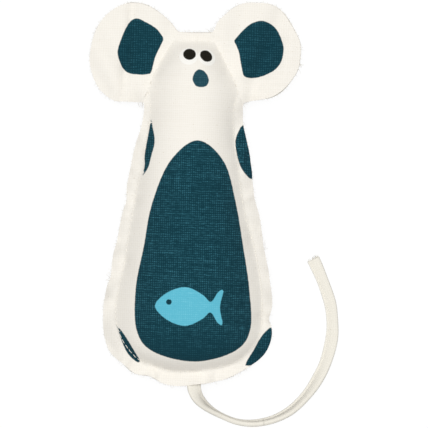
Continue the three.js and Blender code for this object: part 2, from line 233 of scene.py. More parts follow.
def smooth_line(points, steps, closed=False):
    """A smooth line through the points, in so many steps from one to the next."""
    points = np.array(points, float)
    if closed:
        padded = np.vstack([points[-1:], points, points[:2]])
    else:
        padded = np.vstack([2 * points[0] - points[1], points, 2 * points[-1] - points[-2]])
    share = np.arange(steps)[:, None] / steps
    line = []
    for before, start, stop, after in zip(padded, padded[1:], padded[2:], padded[3:]):
        bend = (2 * before - 5 * start + 4 * stop - after) * share**2
        bend += (3 * start - before - 3 * stop + after) * share**3
        line.append(start + 0.5 * ((stop - before) * share + bend))
    if not closed:
        line.append(points[-1:])
    return np.vstack(line)


def piece_from(name, points, faces, material, uv=None):
    """A mesh object at the origin, made of points in metres. uv has one place for each point."""
    mesh = bpy.data.meshes.new(name)
    mesh.from_pydata([tuple(p) for p in points], [], [tuple(f) for f in faces])
    mesh.update()
    if uv is not None:
        layer = mesh.uv_layers.new(name="cloth")
        corner = np.zeros(len(mesh.loops), int)
        mesh.loops.foreach_get("vertex_index", corner)
        layer.data.foreach_set("uv", np.array(uv, np.float32)[corner].ravel())
    mesh.materials.append(material)
    mesh.shade_smooth()
    obj = bpy.data.objects.new(name, mesh)
    bpy.context.scene.collection.objects.link(obj)
    return obj


# Cotton canvas, plain woven from unbleached yarn: matt and a little fuzzy, with a visible grid of
# threads, thicker and thinner yarns, and here and there a fleck of seed husk.
THREAD_SPACING = 0.9 * MM
THREAD_WANDER = 5.0 * MM  # how far a thread runs before it strays another way
YARN_RUN = 16.0 * MM  # how far a thick or thin stretch of yarn lasts
FLECK_SIZE = 0.8 * MM
WEAVE_DEPTH = 0.16 * MM
canvas, tree = bare_material("natural_cotton_canvas")
cloth_place = add_node(tree, "ShaderNodeUVMap", {"name": "cloth_place", "uv_map": "cloth"}).outputs[0]
threads = add_node(
    tree,
    "ShaderNodeVectorMath",
    {"operation": "SCALE"},
    {0: cloth_place, "Scale": math.pi / THREAD_SPACING},
).outputs[0]
wander = add_node(
    tree,
    "ShaderNodeTexNoise",
    {"noise_dimensions": "2D"},
    {"Vector": cloth_place, "Scale": 1 / THREAD_WANDER},
)
wander = add_node(
    tree,
    "ShaderNodeVectorMath",
    {"operation": "SCALE"},
    {0: wander.outputs["Color"], "Scale": 2.4},
).outputs[0]
threads = add_node(tree, "ShaderNodeVectorMath", {"operation": "ADD"}, {0: threads, 1: wander}).outputs[0]
threads = add_node(tree, "ShaderNodeVectorMath", {"operation": "SINE"}, {0: threads}).outputs[0]
crosswise = add_node(tree, "ShaderNodeSeparateXYZ", {}, {0: threads}).outputs
crossing = add_node(
    tree, "ShaderNodeMath", {"operation": "MULTIPLY"}, {0: crosswise["X"], 1: crosswise["Y"]}
).outputs[0]
warp = add_node(tree, "ShaderNodeMath", {"operation": "ABSOLUTE"}, {0: crosswise["X"]}).outputs[0]
weft = add_node(tree, "ShaderNodeMath", {"operation": "ABSOLUTE"}, {0: crosswise["Y"]}).outputs[0]
warp_over = add_node(
    tree, "ShaderNodeMapRange", {}, {"Value": crossing, "From Min": -0.8, "From Max": 0.8}
).outputs[0]
weave = add_node(
    tree, "ShaderNodeMix", {"data_type": "FLOAT"}, {"Factor": warp_over, "A": weft, "B": warp}
).outputs[0]
# Yarns that run across and along, each of its own thickness
yarns = []
for stretch in [(1 / YARN_RUN, 0.8 / THREAD_SPACING, 1), (0.8 / THREAD_SPACING, 1 / YARN_RUN, 1)]:
    stretched = add_node(tree, "ShaderNodeMapping", {}, {"Vector": cloth_place, "Scale": stretch})
    thickness = add_node(
        tree,
        "ShaderNodeTexNoise",
        {"noise_dimensions": "2D"},
        {"Vector": stretched.outputs[0], "Scale": 1.0, "Detail": 1.0},
    )
    yarns.append(thickness.outputs["Fac"])
yarn = add_node(
    tree, "ShaderNodeMix", {"data_type": "FLOAT"}, {"Factor": 0.35, "A": yarns[0], "B": yarns[1]}
).outputs[0]
relief = add_node(
    tree, "ShaderNodeMath", {"name": "relief", "operation": "MULTIPLY_ADD"}, {0: yarn, 1: 0.8, 2: weave}
).outputs[0]
# The cloth is coloured darker where its relief is low: painted shade in the gaps between threads,
# together with the tone of thicker and thinner yarns
gap_shade_and_yarn_tone = add_node(
    tree, "ShaderNodeMapRange", {}, {"Value": relief, "From Min": 0.3, "From Max": 1.5}
).outputs[0]
cloth_colour = add_node(
    tree,
    "ShaderNodeMix",
    {"name": "cloth_colour", "data_type": "RGBA"},
    {"Factor": gap_shade_and_yarn_tone, "A": linear("#efeae0"), "B": linear("#f6f2ea")},
).outputs[2]
fleck = add_node(
    tree,
    "ShaderNodeTexNoise",
    {"noise_dimensions": "2D"},
    {"Vector": cloth_place, "Scale": 1 / FLECK_SIZE, "Detail": 0.0},
).outputs["Fac"]
fleck = add_node(
    tree, "ShaderNodeMapRange", {}, {"Value": fleck, "From Min": 0.85, "From Max": 0.92, "To Max": 0.25}
).outputs[0]
cloth_colour = add_node(
    tree,
    "ShaderNodeMix",
    {"data_type": "RGBA"},
    {"Factor": fleck, "A": cloth_colour, "B": linear("#b7a583")},
).outputs[2]
bumps = add_node(
    tree, "ShaderNodeBump", {}, {"Height": relief, "Strength": 0.3, "Distance": WEAVE_DEPTH}
).outputs[0]
cloth_surface = add_node(
    tree,
    "ShaderNodeBsdfPrincipled",
    {"name": "cloth_surface"},
    {
        "Base Color": cloth_colour,
        "Roughness": 0.92,
        "IOR": 1.47,
        "Specular IOR Level": 0.08,
        "Sheen Weight": 0.02,
        "Sheen Roughness": 0.6,
        "Normal": bumps,
    },
)
add_node(tree, "ShaderNodeOutputMaterial", {}, {"Surface": cloth_surface.outputs[0]})

# The tape's canvas, a little darker than the body's
tape_canvas = canvas.copy()
tape_canvas.name = "cotton_canvas_tape"
mixed = tape_canvas.node_tree.nodes["cloth_colour"]
mixed.inputs["A"].default_value = linear("#ebe6da")
mixed.inputs["B"].default_value = linear("#f1ede2")


def run_along(line):
    """How far along a line each of its points is."""
    return np.concatenate([[0], np.cumsum(np.linalg.norm(np.diff(line, axis=0), axis=1))])


def places_at(run, line_run, line):
    """Places on a line, so far along it."""
    return np.stack([np.interp(run, line_run, line[:, i]) for i in range(line.shape[1])], axis=1)


TAIL_STEPS = 40
tail_fine = smooth_line([p[:3] for p in TAIL_ROUTE], TAIL_STEPS) * MM
tail_twist = smooth_line([p[3:] for p in TAIL_ROUTE], TAIL_STEPS)[:, 0]
tail_run = run_along(tail_fine)


def tape_frame(run):
    """Middle, direction, width direction and thickness direction of the tape, so far along it."""
    middle = places_at(run, tail_run, tail_fine)
    step = 0.5 * MM
    along = places_at(run + step, tail_run, tail_fine) - places_at(run - step, tail_run, tail_fine)
    along /= np.linalg.norm(along, axis=1, keepdims=True)
    flat = np.stack([-along[:, 1], along[:, 0], 0 * along[:, 0]], axis=1)
    flat /= np.linalg.norm(flat, axis=1, keepdims=True)
    up = np.cross(along, flat)
    turn = np.radians(np.interp(run, tail_run, tail_twist))[:, None]
    width = np.cos(turn) * flat + np.sin(turn) * up
    return middle, along, width, np.cross(along, width)


section = np.array(TAPE_SECTION + [(across, -over) for across, over in TAPE_SECTION[:0:-1]])
section_place = run_along(section * [TAPE_WIDTH, TAPE_THICKNESS])


def tube_faces(rings, sides):
    """The faces of a closed tube, whose points are so many rings of corners, one after another."""
    last = (rings - 1) * sides
    faces = [tuple(range(sides - 1, -1, -1)), tuple(range(last, last + sides))]
    for ring in range(0, last, sides):
        for corner in range(sides):
            this = ring + corner
            beside = ring + (corner + 1) % sides
            faces.append((this, beside, beside + sides, this + sides))
    return faces


def tape_stretch(name, start, stop):
    """A stretch of the tape as a closed mesh, and the points of its middle line."""
    run = np.linspace(start, stop, max(2, round((stop - start) / TAPE_STEP)))
    middle, along, width, over = tape_frame(run)
    swell = TAPE_FULL + TAPE_WAVER * np.sin(run / WAVER_RUNS[0]) * np.sin(run / WAVER_RUNS[1] + 1)
    swell -= TAPE_TAPER * np.clip((run - TAPER_FROM) / TAPER_OVER, 0, 1)
    on_edge = np.sin(np.radians(np.interp(run, tail_run, tail_twist))) ** 2
    lip = np.clip((section[:, 0] - LIP_FROM) / LIP_OVER, 0, 1) * (section[:, 1] > 0)
    fold = np.clip((FOLD_FROM - section[:, 0]) / FOLD_OVER, 0, 1)
    gape = 1 + on_edge[:, None, None] * (LIP_SPREAD * lip + FOLD_SPREAD * fold)[None, :, None]
    rings = (
        middle[:, None, :]
        + width[:, None, :] * (section[None, :, :1] * TAPE_WIDTH * swell[:, None, None])
        + over[:, None, :] * (section[None, :, 1:] * TAPE_THICKNESS * gape)
    )
    faces = tube_faces(len(run), len(section))
    uv = np.stack(np.broadcast_arrays(section_place[None, :], run[:, None]), axis=2)
    return piece_from(name, rings.reshape(-1, 3), faces, tape_canvas, uv.reshape(-1, 2)), middle


def tail_at(place):
    """How far along the tail a place in its route is, counted in points of the route."""
    return float(tail_run[round(place * TAIL_STEPS)])


tail_join = tail_at(TAIL_JOIN_AT)
tail_near, near_line = tape_stretch("tail_near_half", 0.0, tail_join)
tail_far, far_line = tape_stretch("tail_far_half", tail_join, tail_run[-1])

# Sewing thread, two polyester plies twisted together: smooth, a little shiny, ribbed by its twist.
THREAD_RADIUS = 0.15 * MM
STITCH_PITCH = 2.4 * MM
STITCH_LENGTH = 2.1 * MM
RIB_SPACING = 0.9 * MM  # along the thread
RIB_DEPTH = 0.05 * MM
WAVE_BANDS = 1.6  # a diagonal wave texture of scale 1 has about this many bands to the metre
thread, tree = bare_material("twisted_polyester_thread")
ply_place = add_node(tree, "ShaderNodeUVMap", {"uv_map": "cloth"}).outputs[0]
plies = add_node(
    tree,
    "ShaderNodeTexWave",
    {"bands_direction": "DIAGONAL"},
    {"Vector": ply_place, "Scale": 1 / RIB_SPACING / WAVE_BANDS, "Distortion": 0.0},
).outputs["Fac"]
# Lighter on the ridges of the plies and darker in the grooves between them: painted shade
ply_colour = add_node(
    tree,
    "ShaderNodeMix",
    {"data_type": "RGBA"},
    {"Factor": plies, "A": linear("#e4dfd2"), "B": linear("#f5f1e8")},
).outputs[2]
ribs = add_node(
    tree, "ShaderNodeBump", {}, {"Height": plies, "Strength": 0.4, "Distance": RIB_DEPTH}
).outputs[0]
ply_surface = add_node(
    tree,
    "ShaderNodeBsdfPrincipled",
    {},
    {"Base Color": ply_colour, "Roughness": 0.55, "IOR": 1.57, "Sheen Weight": 0.1, "Normal": ribs},
)
add_node(tree, "ShaderNodeOutputMaterial", {}, {"Surface": ply_surface.outputs[0]})

# One stitch: a short length of thread that dips into the cloth at both ends
bpy.ops.mesh.primitive_cylinder_add(vertices=6, radius=THREAD_RADIUS, depth=STITCH_LENGTH)
bpy.ops.object.mode_set(mode="EDIT")
bpy.ops.mesh.select_all(action="SELECT")
bpy.ops.transform.rotate(value=math.pi / 2, orient_axis="Y", center_override=(0, 0, 0))
for ring_at in (-0.3, 0.0, 0.3):
    bpy.ops.mesh.select_all(action="SELECT")
    bpy.ops.mesh.bisect(plane_co=(ring_at * STITCH_LENGTH, 0, 0), plane_no=(1, 0, 0))
bpy.ops.object.mode_set(mode="OBJECT")
stitch = bpy.context.object
stitch_points = np.array([v.co for v in stitch.data.vertices])
stitch_faces = [list(p.vertices) for p in stitch.data.polygons]
to_end = np.abs(stitch_points[:, 0]) / (STITCH_LENGTH / 2)
stitch_points[:, 2] -= 1.5 * THREAD_RADIUS * to_end**3
stitch_points[:, 1:] *= (1 - 0.3 * to_end**2)[:, None]
stitch_round = np.arctan2(stitch_points[:, 1], stitch_points[:, 2]) * THREAD_RADIUS
stitch_uv = np.stack([stitch_points[:, 0], stitch_round], axis=1)
bpy.data.objects.remove(stitch)


def row_of_stitches(name, middle, along, over):
    """Copies of the stitch along a row, each lying along the row and on the cloth."""
    over = over - along * np.sum(over * along, axis=1, keepdims=True)
    over /= np.linalg.norm(over, axis=1, keepdims=True)
    across = np.cross(over, along)
    axes = np.stack([along, across, over], axis=1)
    points = middle[:, None, :] + np.einsum("pk,nkc->npc", stitch_points, axes)
    count = len(stitch_points)
    faces = [[i + n * count for i in f] for n in range(len(middle)) for f in stitch_faces]
    return piece_from(name, points.reshape(-1, 3), faces, thread, np.tile(stitch_uv, (len(middle), 1)))


def tape_stitches(name, start, stop):
    """The row of stitches beside the open edge of a stretch of the tape."""
    run = np.arange(start, stop, STITCH_PITCH)
    middle, along, width, over = tape_frame(run)
    middle = middle + width * (TAPE_WIDTH / 2 - TAPE_HEM) + over * TAPE_STITCH_DEPTH * TAPE_THICKNESS
    return row_of_stitches(name, middle, along, over)


near_stitches = tape_stitches("tail_near_stitches", tail_at(TAIL_LEAVES_AT), tail_join - 1 * MM)
far_stitches = tape_stitches("tail_far_stitches", tail_join + 0.5 * MM, tail_run[-1] - 1.5 * MM)

for piece, nodes, slot in [
    (tail_near, ["tail_root", "tail_middle"], "cotton_tape"),
    (near_stitches, ["tail_root_thread", "tail_middle_thread"], "sewing_thread"),
]:
    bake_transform(piece)
    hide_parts(*nodes)
for piece, nodes, slot in [
    (tail_far, ["tail_middle", "tail_tip"], "cotton_tape"),
    (far_stitches, ["tail_middle_thread", "tail_tip_thread"], "sewing_thread"),
]:
    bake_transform(piece)
    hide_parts(*nodes)

# The cut end sheds short ends of yarn
YARN_RADIUS = 0.09 * MM
YARN_TAPER = 0.6
YARN_ROOTED = 0.12  # share of a yarn's length that is still in the cloth
YARN_RINGS = 4
YARN_SIDES = 3
TIP_YARNS = 46
TIP_SHORTEST = 0.4 * MM
TIP_LONGER = 1.1 * MM  # how much longer the longest are


def yarn_ends(name, ends, material, dice):
    """Short curled ends of yarn, each a thin tapering tube with a start, a way and a length."""
    points = []
    faces = []
    uv = []
    yarn_faces = tube_faces(YARN_RINGS, YARN_SIDES)
    for start, out, length in ends:
        side = np.cross(out, (0, 0, 1.0))
        side /= np.linalg.norm(side)
        up = np.cross(side, out)
        curl = dice.uniform(-0.6, 0.6)
        droop = dice.uniform(-0.35, 0.25)
        first = len(points)
        for ring in range(YARN_RINGS):
            along = ring / (YARN_RINGS - 1)
            bend = side * curl * along * along + up * droop * along * along
            middle = start + length * (out * (along - YARN_ROOTED) + bend)
            thin = YARN_RADIUS * (1 - YARN_TAPER * along)
            for corner in range(YARN_SIDES):
                angle = 2 * math.pi * corner / YARN_SIDES
                points.append(middle + thin * (math.cos(angle) * side + math.sin(angle) * up))
                uv.append((corner * 0.1 * MM, along * length))
        faces += [[i + first for i in f] for f in yarn_faces]
    return piece_from(name, points, faces, material, uv)


tip, tip_along, tip_width, tip_over = (v[0] for v in tape_frame(np.array([tail_run[-1]])))
dice = random.Random(7)
ends = []
for _ in range(TIP_YARNS):
    across = dice.uniform(-0.5, 0.5)
    over = dice.choice([-0.33, 0.33, 0.1])
    way = tip_along + tip_width * dice.gauss(0, 0.35) + tip_over * dice.gauss(0, 0.2)
    spot = tip + tip_width * across * TAPE_WIDTH + tip_over * over * TAPE_THICKNESS
    ends.append((spot, way / np.linalg.norm(way), TIP_SHORTEST + TIP_LONGER * dice.random() ** 2))
tip_fray = yarn_ends("tail_frayed_end", ends, tape_canvas, dice)
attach(tip_fray, "tail_end")


# Panels, cut and sewn
# Front and back are cut from canvas to one outline with the ears on it, and sewn together on a line
# inside the raw edge. The pocket inside that line is stuffed, and the flange and ears stay flat.
# Both pockets, the flange and the ears are shaped by one cloth simulation from the flat cut.
HEAD_Y = 63.0 * MM
RIDGE_LOW = -42.0 * MM
RIDGE_HIGH = 47.0 * MM
FRONT_PUFF = (14.0 * MM, 7.8 * MM)  # at the hips and at the head
BACK_PUFF = (11.0 * MM, 7.5 * MM)
CLOTH = 0.55 * MM
CLOTH_GRID = 1.7 * MM
GRID_STRAY = 0.12  # share of the grid by which its points stray, so that no row of them shows
GRID_ROOM = 0.6  # share of the grid that they keep from the seam and the raw edge
SHEET_REACH = (48.0 * MM, 78.0 * MM)
# The raw edge as it was cut by hand, in millimetres from the bottom middle up each side, and round
# each ear from neck to head. Left ones are drawn on the right.
RIGHT_SIDE = [
    (0, -75.0), (9, -73.7), (15, -72.2), (21, -69.2), (26.2, -65.7), (29.6, -62.6), (32.0, -58.7),
    (33, -54.5), (32.7, -51), (31.9, -48.4), (32.6, -44.5), (32.6, -40), (31.1, -30.5), (29.7, -24),
    (28.2, -16), (26.8, -8), (24.7, -1.5), (24.1, 4), (23, 12), (21.4, 20), (19.5, 28), (19.1, 35.7),
]
LEFT_SIDE = [
    (0, -75.1), (5, -75.1), (9, -74.3), (12.5, -72.6), (15.5, -71.5), (18.5, -71.2), (22, -69.6),
    (27, -65.4), (30.1, -62), (31.9, -56.5), (32.7, -49), (32.2, -41), (30.3, -32.5), (29.1, -24),
    (27.4, -16), (26.3, -8.2), (24.9, -4), (24.7, 2), (23.5, 9), (22.3, 16), (20.1, 24), (18.8, 31),
    (18.8, 35.2),
]
RIGHT_EAR = [
    (19.1, 36.0), (22.6, 36.9), (26, 37.3), (30.8, 38.4), (34.8, 41.1), (38, 45), (40.5, 49.4),
    (41.1, 53), (41.2, 59.2), (38.5, 65.1), (34.9, 70.6), (32, 73.2), (28.8, 74.6), (24.4, 75),
    (19.2, 74.8), (14.6, 72.8), (11, 69.5), (8.9, 67.4), (7.2, 63),
]
LEFT_EAR = [
    (18.8, 35.2), (26.3, 35.3), (30.2, 35.3), (33.4, 37.0), (36.4, 39.5), (39.0, 44.1), (40.5, 49.3),
    (40.6, 53), (39.2, 61.4), (36.1, 67.2), (31.5, 71.3), (25.8, 73.8), (19.4, 73.1), (14.2, 70.2),
    (9.6, 66.4), (6.8, 62.8),
]
# The seam, in the same way: from the bottom middle up each side, and across each ear's root
RIGHT_SEAM = [
    (0, -69.1), (5, -69.0), (10, -68.0), (15, -66.8), (18.5, -65.5), (21.6, -63.5), (24.5, -60.5),
    (26.8, -57.2), (28.3, -53.8), (28.9, -50), (28.7, -46), (28.4, -41), (27.7, -34), (26.3, -27),
    (24.9, -20.5), (23.4, -15.5), (21.9, -10), (20.7, -5), (19.7, 0), (18.9, 5), (18.1, 10), (17.3, 15),
    (16.5, 20), (15.9, 25), (15.6, 30), (16.1, 35), (17.2, 40.2),
]
LEFT_SEAM = [
    (0, -69.1), (5, -69.2), (10, -68.2), (15.0, -66.7), (19.0, -64.6), (22.0, -61.6), (24.9, -57.6),
    (26.8, -53.2), (27.8, -49.3), (27.9, -45), (27.2, -40), (26.3, -35), (25.2, -30), (24.5, -25),
    (24.0, -20), (23.3, -15), (22.5, -10), (21.7, -5), (21.0, 0), (20.1, 5), (19.2, 10), (18.6, 15),
    (17.9, 20), (17.1, 25), (16.4, 30), (16.4, 35), (17.4, 40.5),
]
RIGHT_ROOT = [(17.2, 40.2), (15.4, 44.8), (12.3, 50.2), (9.7, 55.0), (7.5, 59.2)]
LEFT_ROOT = [(17.4, 40.5), (15.7, 45.3), (13.3, 50.2), (10.7, 55.0), (8.0, 59.0)]
SEAM_TOP = 59.2 * MM
CUT_TOP = HEAD_Y - 0.3 * MM
# Ends of the line that an ear folds on
neck_corner = Vector((19.5 * MM, 35.7 * MM))
head_corner = Vector((6.8 * MM, HEAD_Y))
fold_along = (neck_corner - head_corner).normalized()
fold_out = Vector((-fold_along.y, fold_along.x))
fold_middle = (neck_corner + head_corner) / 2


def even(line, gap):
    """Points along a line at about that gap, its last point left off."""
    line = np.array(line, float)
    run = run_along(line)
    at = np.linspace(0, run[-1], max(2, round(run[-1] / gap) + 1))[:-1]
    return places_at(at, run, line)


def half_loop(*lines):
    """Lines that follow on from each other, as evenly spaced points."""
    return np.vstack([even(line, CLOTH_GRID) for line in lines] + [[lines[-1][-1]]])


def both_halves(right, left):
    """One loop of a right half and a left half, both drawn on the right."""
    return np.vstack([right, (left[1:-1] * [-1, 1])[::-1]])


OUTLINE_STEPS = 8
halves = []
for side, bow, top in [
    (RIGHT_SEAM, RIGHT_ROOT, SEAM_TOP),
    (LEFT_SEAM, LEFT_ROOT, SEAM_TOP),
    (RIGHT_SIDE, RIGHT_EAR, CUT_TOP),
    (LEFT_SIDE, LEFT_EAR, CUT_TOP),
]:
    across_head = [np.array(bow[-1]) * MM, (0, top)]
    side_line, bow_line = (smooth_line(line, OUTLINE_STEPS) * MM for line in (side, bow))
    halves.append(half_loop(side_line, bow_line, across_head))
stitch_right, stitch_left, cut_right, cut_left = halves
stitch_loop = both_halves(stitch_right, stitch_left)
cut_loop = both_halves(cut_right, cut_left)


def inside(points, loop):
    """Which of the points lie inside a closed loop."""
    found = np.zeros(len(points), bool)
    for (ax, ay), (bx, by) in zip(loop, np.roll(loop, -1, axis=0)):
        spans = (ay > points[:, 1]) != (by > points[:, 1])
        with np.errstate(divide="ignore", invalid="ignore"):
            at = ax + (points[:, 1] - ay) / (by - ay) * (bx - ax)
        found ^= spans & (points[:, 0] < at)
    return found


def distance(points, loop):
    """How far each point is from a closed loop."""
    nearest = np.full(len(points), np.inf)
    for start, stop in zip(loop, np.roll(loop, -1, axis=0)):
        along = stop - start
        share = np.clip(((points - start) @ along) / max(along @ along, 1e-18), 0, 1)
        nearest = np.minimum(nearest, np.linalg.norm(points - start - share[:, None] * along, axis=1))
    return nearest


# Flat triangles of the whole cut, with the stitch line and the ends of the ears' roots as edges in it
dice = random.Random(11)
columns = np.arange(-SHEET_REACH[0], SHEET_REACH[0], CLOTH_GRID)
rows = np.arange(-SHEET_REACH[1], SHEET_REACH[1], CLOTH_GRID * math.sqrt(3) / 2)
grid = np.array([(x + (i % 2) * CLOTH_GRID / 2, y) for i, y in enumerate(rows) for x in columns])
grid += np.array([(dice.uniform(-1, 1), dice.uniform(-1, 1)) for _ in grid]) * CLOTH_GRID * GRID_STRAY
room = np.minimum(distance(grid, cut_loop), distance(grid, stitch_loop))
grid = grid[inside(grid, cut_loop) & (room > GRID_ROOM * CLOTH_GRID)]
flat_points = np.vstack([cut_loop, stitch_loop, grid])


def loop_edges(first, count):
    """The edges of a closed loop of points that are numbered on from the first."""
    return [(first + i, first + (i + 1) % count) for i in range(count)]


def nearest_to(place, first, count):
    """The number of the point nearest to a place, among so many from the first."""
    return first + int(np.argmin(np.linalg.norm(flat_points[first : first + count] - place, axis=1)))


def twice_area(corners):
    """Twice the area of each flat triangle, below nought where its corners run clockwise."""
    one = corners[:, 1] - corners[:, 0]
    two = corners[:, 2] - corners[:, 0]
    return one[:, 0] * two[:, 1] - one[:, 1] * two[:, 0]


cut_count = len(cut_loop)
stitch_count = len(stitch_loop)
edges = loop_edges(0, cut_count) + loop_edges(cut_count, stitch_count)
ear_zones = {}
for hand, root in [(1, RIGHT_ROOT), (-1, LEFT_ROOT)]:
    mirror = np.array([hand, 1])
    root_ends = [np.array(root[i]) * MM for i in (0, -1)]
    for cut_end, stitch_end in zip([neck_corner, head_corner], root_ends):
        on_cut = nearest_to(np.array(cut_end) * mirror, 0, cut_count)
        on_seam = nearest_to(stitch_end * mirror, cut_count, stitch_count)
        edges.append((on_cut, on_seam))
    # Corners that lie well beyond the ear
    far_corners = [(80 * MM, 20 * MM), (80 * MM, 90 * MM), (head_corner.x, 90 * MM)]
    zone = np.vstack([root_ends[0], neck_corner, *far_corners, head_corner, root_ends[1]])
    ear_zones[hand] = zone * mirror
made_points, _, made_faces, came_from, _, _ = delaunay_2d_cdt(
    [Vector(p / MM) for p in flat_points], edges, [], 0, 1e-5
)
flat_points = np.array(made_points) * MM
origin = np.array([ids[0] if ids else -1 for ids in came_from])
is_stitch = (origin >= cut_count) & (origin < cut_count + stitch_count)
is_raw = (origin >= 0) & (origin < cut_count)
triangles = np.array([f for f in made_faces if len(f) == 3])
turned = twice_area(flat_points[triangles]) < 0
triangles[turned] = triangles[turned][:, ::-1]
triangles = triangles[inside(flat_points[triangles].mean(axis=1), cut_loop)]
centre = flat_points[triangles].mean(axis=1)
in_pocket = inside(centre, stitch_loop)
in_ear = np.zeros(len(triangles), int)
for hand, zone in ear_zones.items():
    in_ear[inside(centre, zone) & ~in_pocket] = hand

# Stuffed shape that each point of the pocket swells to, and how much wider it was cut for that. From
# the ridge to the seam the cloth falls as a dome with two powers, changed at the tail end and the face.
DOME = np.array([2.7, 1.15])
DOME_AT_TAIL = np.array([0.7, -0.28])
DOME_AT_FACE = np.array([-0.1, 0.2])
TAIL_END = (-64.0 * MM, -50.0 * MM)
FACE = (25.0 * MM, 46.0 * MM)
BACK_EVEN_TO = 10.0 * MM  # up to here the back is stuffed evenly
CUT_LONGER = 1.01  # the pocket was cut this much longer than it needs to be


def crest_and_reach(points):
    """For each point, the nearest point of the stuffed ridge and how far the stitch line is that way."""
    crest = np.stack([0 * points[:, 0], np.clip(points[:, 1], RIDGE_LOW, RIDGE_HIGH)], axis=1)
    reach = np.zeros(len(points))
    for hand, line in [(1, stitch_right), (-1, stitch_left)]:
        beside = points[:, 0] * hand >= 0
        flank = line[(line[:, 1] >= RIDGE_LOW) & (line[:, 1] <= RIDGE_HIGH)]
        reach[beside] = np.interp(points[beside, 1], flank[:, 1], flank[:, 0])
        for at, beyond in [(RIDGE_LOW, -1), (RIDGE_HIGH, 1)]:
            end = line[(line[:, 1] - at) * beyond >= 0]
            turn = np.arctan2((end[:, 1] - at) * beyond, end[:, 0])
            radius = np.hypot(end[:, 0], end[:, 1] - at)
            order = np.argsort(turn)
            mine = beside & ((points[:, 1] - at) * beyond > 0)
            angle = np.arctan2((points[mine, 1] - at) * beyond, np.abs(points[mine, 0]))
            reach[mine] = np.interp(angle, turn[order], radius[order])
    return crest, reach


def ease(value, low, high):
    """Nought up to the low value and 1 from the high one, with a smooth rise between."""
    share = np.clip((value - low) / (high - low), 0, 1)
    return share * share * (3 - 2 * share)


pocket_ids = np.unique(triangles[in_pocket])
outer_ids = np.unique(triangles[~in_pocket])
pocket = flat_points[pocket_ids]
crest, reach = crest_and_reach(pocket)
share = np.clip(np.linalg.norm(pocket - crest, axis=1) / reach, 0, 1)
share[is_stitch[pocket_ids]] = 1
at_tail = 1 - ease(pocket[:, 1], *TAIL_END)
at_face = ease(pocket[:, 1], *FACE)
power = DOME + at_tail[:, None] * DOME_AT_TAIL + at_face[:, None] * DOME_AT_FACE
dome = (1 - share ** power[:, 0]) ** power[:, 1]


def puffed(puff, start_y):
    """How high each point of the pocket may stand, and where it was before it was stuffed."""
    rise = puff[0] + (puff[1] - puff[0]) * ease(crest[:, 1], start_y, RIDGE_HIGH)
    ratio = rise / reach
    # How much longer a shallow arch is than what it spans
    fullness = 1 + 2 / 3 * ratio**2 - 2 / 5 * ratio**4
    return rise, crest + (pocket - crest) * fullness[:, None] * [1, CUT_LONGER]


front_rise, front_cut = puffed(FRONT_PUFF, RIDGE_LOW)
back_rise, back_cut = puffed(BACK_PUFF, BACK_EVEN_TO)

# The cloth as simulated: ten times as large as it is, held at the seam, which waves a little, and blown
# up from the flat cut. Each wave has a height, a number of waves round the toy, and a shift.
SEAM_WAVES = [(0.3 * MM, 9, 1.0), (0.2 * MM, 21, 2.0)]
EDGE_RIPPLES = [(0.12, 23, 0.6), (0.096, 37, 2.2), (0.072, 13, 0.0)]  # heights as shares of the flange
RIPPLE_REACH = 5.0 * MM
TOY_MIDDLE_Y = -10.0 * MM
SIM_SCALE = 10.0
EAR_EXCESS = 1.012
FLANGE_EXCESS = 1.045  # the raw edge is longer than the seam that it was drawn in by
PRESSURE = 6.0
SIM_FRAMES = 30


def waves_round(points, waves):
    """The height of some waves that run round the toy, at each of the points."""
    turn = np.arctan2(points[:, 0], points[:, 1] - TOY_MIDDLE_Y)
    return sum(height * np.sin(number * turn + shift) for height, number, shift in waves)


outer = flat_points[outer_ids]
outside_by = distance(outer, stitch_loop)
outer_height = waves_round(outer, SEAM_WAVES)
outer_height += waves_round(outer, EDGE_RIPPLES) * np.minimum(outside_by, RIPPLE_REACH)
pocket_height = waves_round(pocket, SEAM_WAVES) * share**4
front_start = np.column_stack([pocket, pocket_height + front_rise * dome])
back_start = np.column_stack([pocket, pocket_height - back_rise * dome])
outer_start = np.column_stack([outer, outer_height])
start = np.vstack([front_start, back_start, outer_start])
outer_longer = outer * FLANGE_EXCESS
for hand in (1, -1):
    root = np.array([hand * fold_middle.x, fold_middle.y])
    mine = np.isin(outer_ids, np.unique(triangles[in_ear == hand]))
    outer_longer[mine] = root * FLANGE_EXCESS + (outer[mine] - root) * EAR_EXCESS
cut = np.vstack([front_cut, back_cut, outer_longer])
cut = np.column_stack([cut, np.zeros(len(cut))])

new_pocket = np.full(len(flat_points), -1)
new_pocket[pocket_ids] = np.arange(len(pocket_ids))
new_outer = np.full(len(flat_points), -1)
new_outer[outer_ids] = np.arange(len(outer_ids))
pocket_faces = new_pocket[triangles[in_pocket]]
outer_faces = new_outer[triangles[~in_pocket]]
outer_ear = in_ear[~in_pocket]
pocket_count = len(pocket_ids)
shape = start
sim_mesh = bpy.data.meshes.new("sewn_cloth")
back_faces = pocket_faces[:, ::-1] + pocket_count
sim_faces = np.vstack([pocket_faces, back_faces, outer_faces + 2 * pocket_count])
sim_mesh.from_pydata((start * SIM_SCALE).tolist(), [], sim_faces.tolist())
sim = bpy.data.objects.new("sewn_cloth", sim_mesh)
bpy.context.scene.collection.objects.link(sim)
sim.shape_key_add(name="stuffed")
flat_cut = sim.shape_key_add(name="flat_cut")
flat_cut.data.foreach_set("co", (cut * SIM_SCALE).astype(np.float32).ravel())
flat_cut.value = 0
sewn = sim.vertex_groups.new(name="sewn")
stuffed = sim.vertex_groups.new(name="stuffed")
held = np.concatenate([is_stitch[pocket_ids], is_stitch[pocket_ids], is_stitch[outer_ids]])
sewn.add(np.nonzero(held)[0].tolist(), 1.0, "REPLACE")
stuffed.add(list(range(2 * pocket_count)), 1.0, "REPLACE")
cloth = sim.modifiers.new("cloth", "CLOTH")
cloth.settings.quality = 8
cloth.settings.mass = 0.3
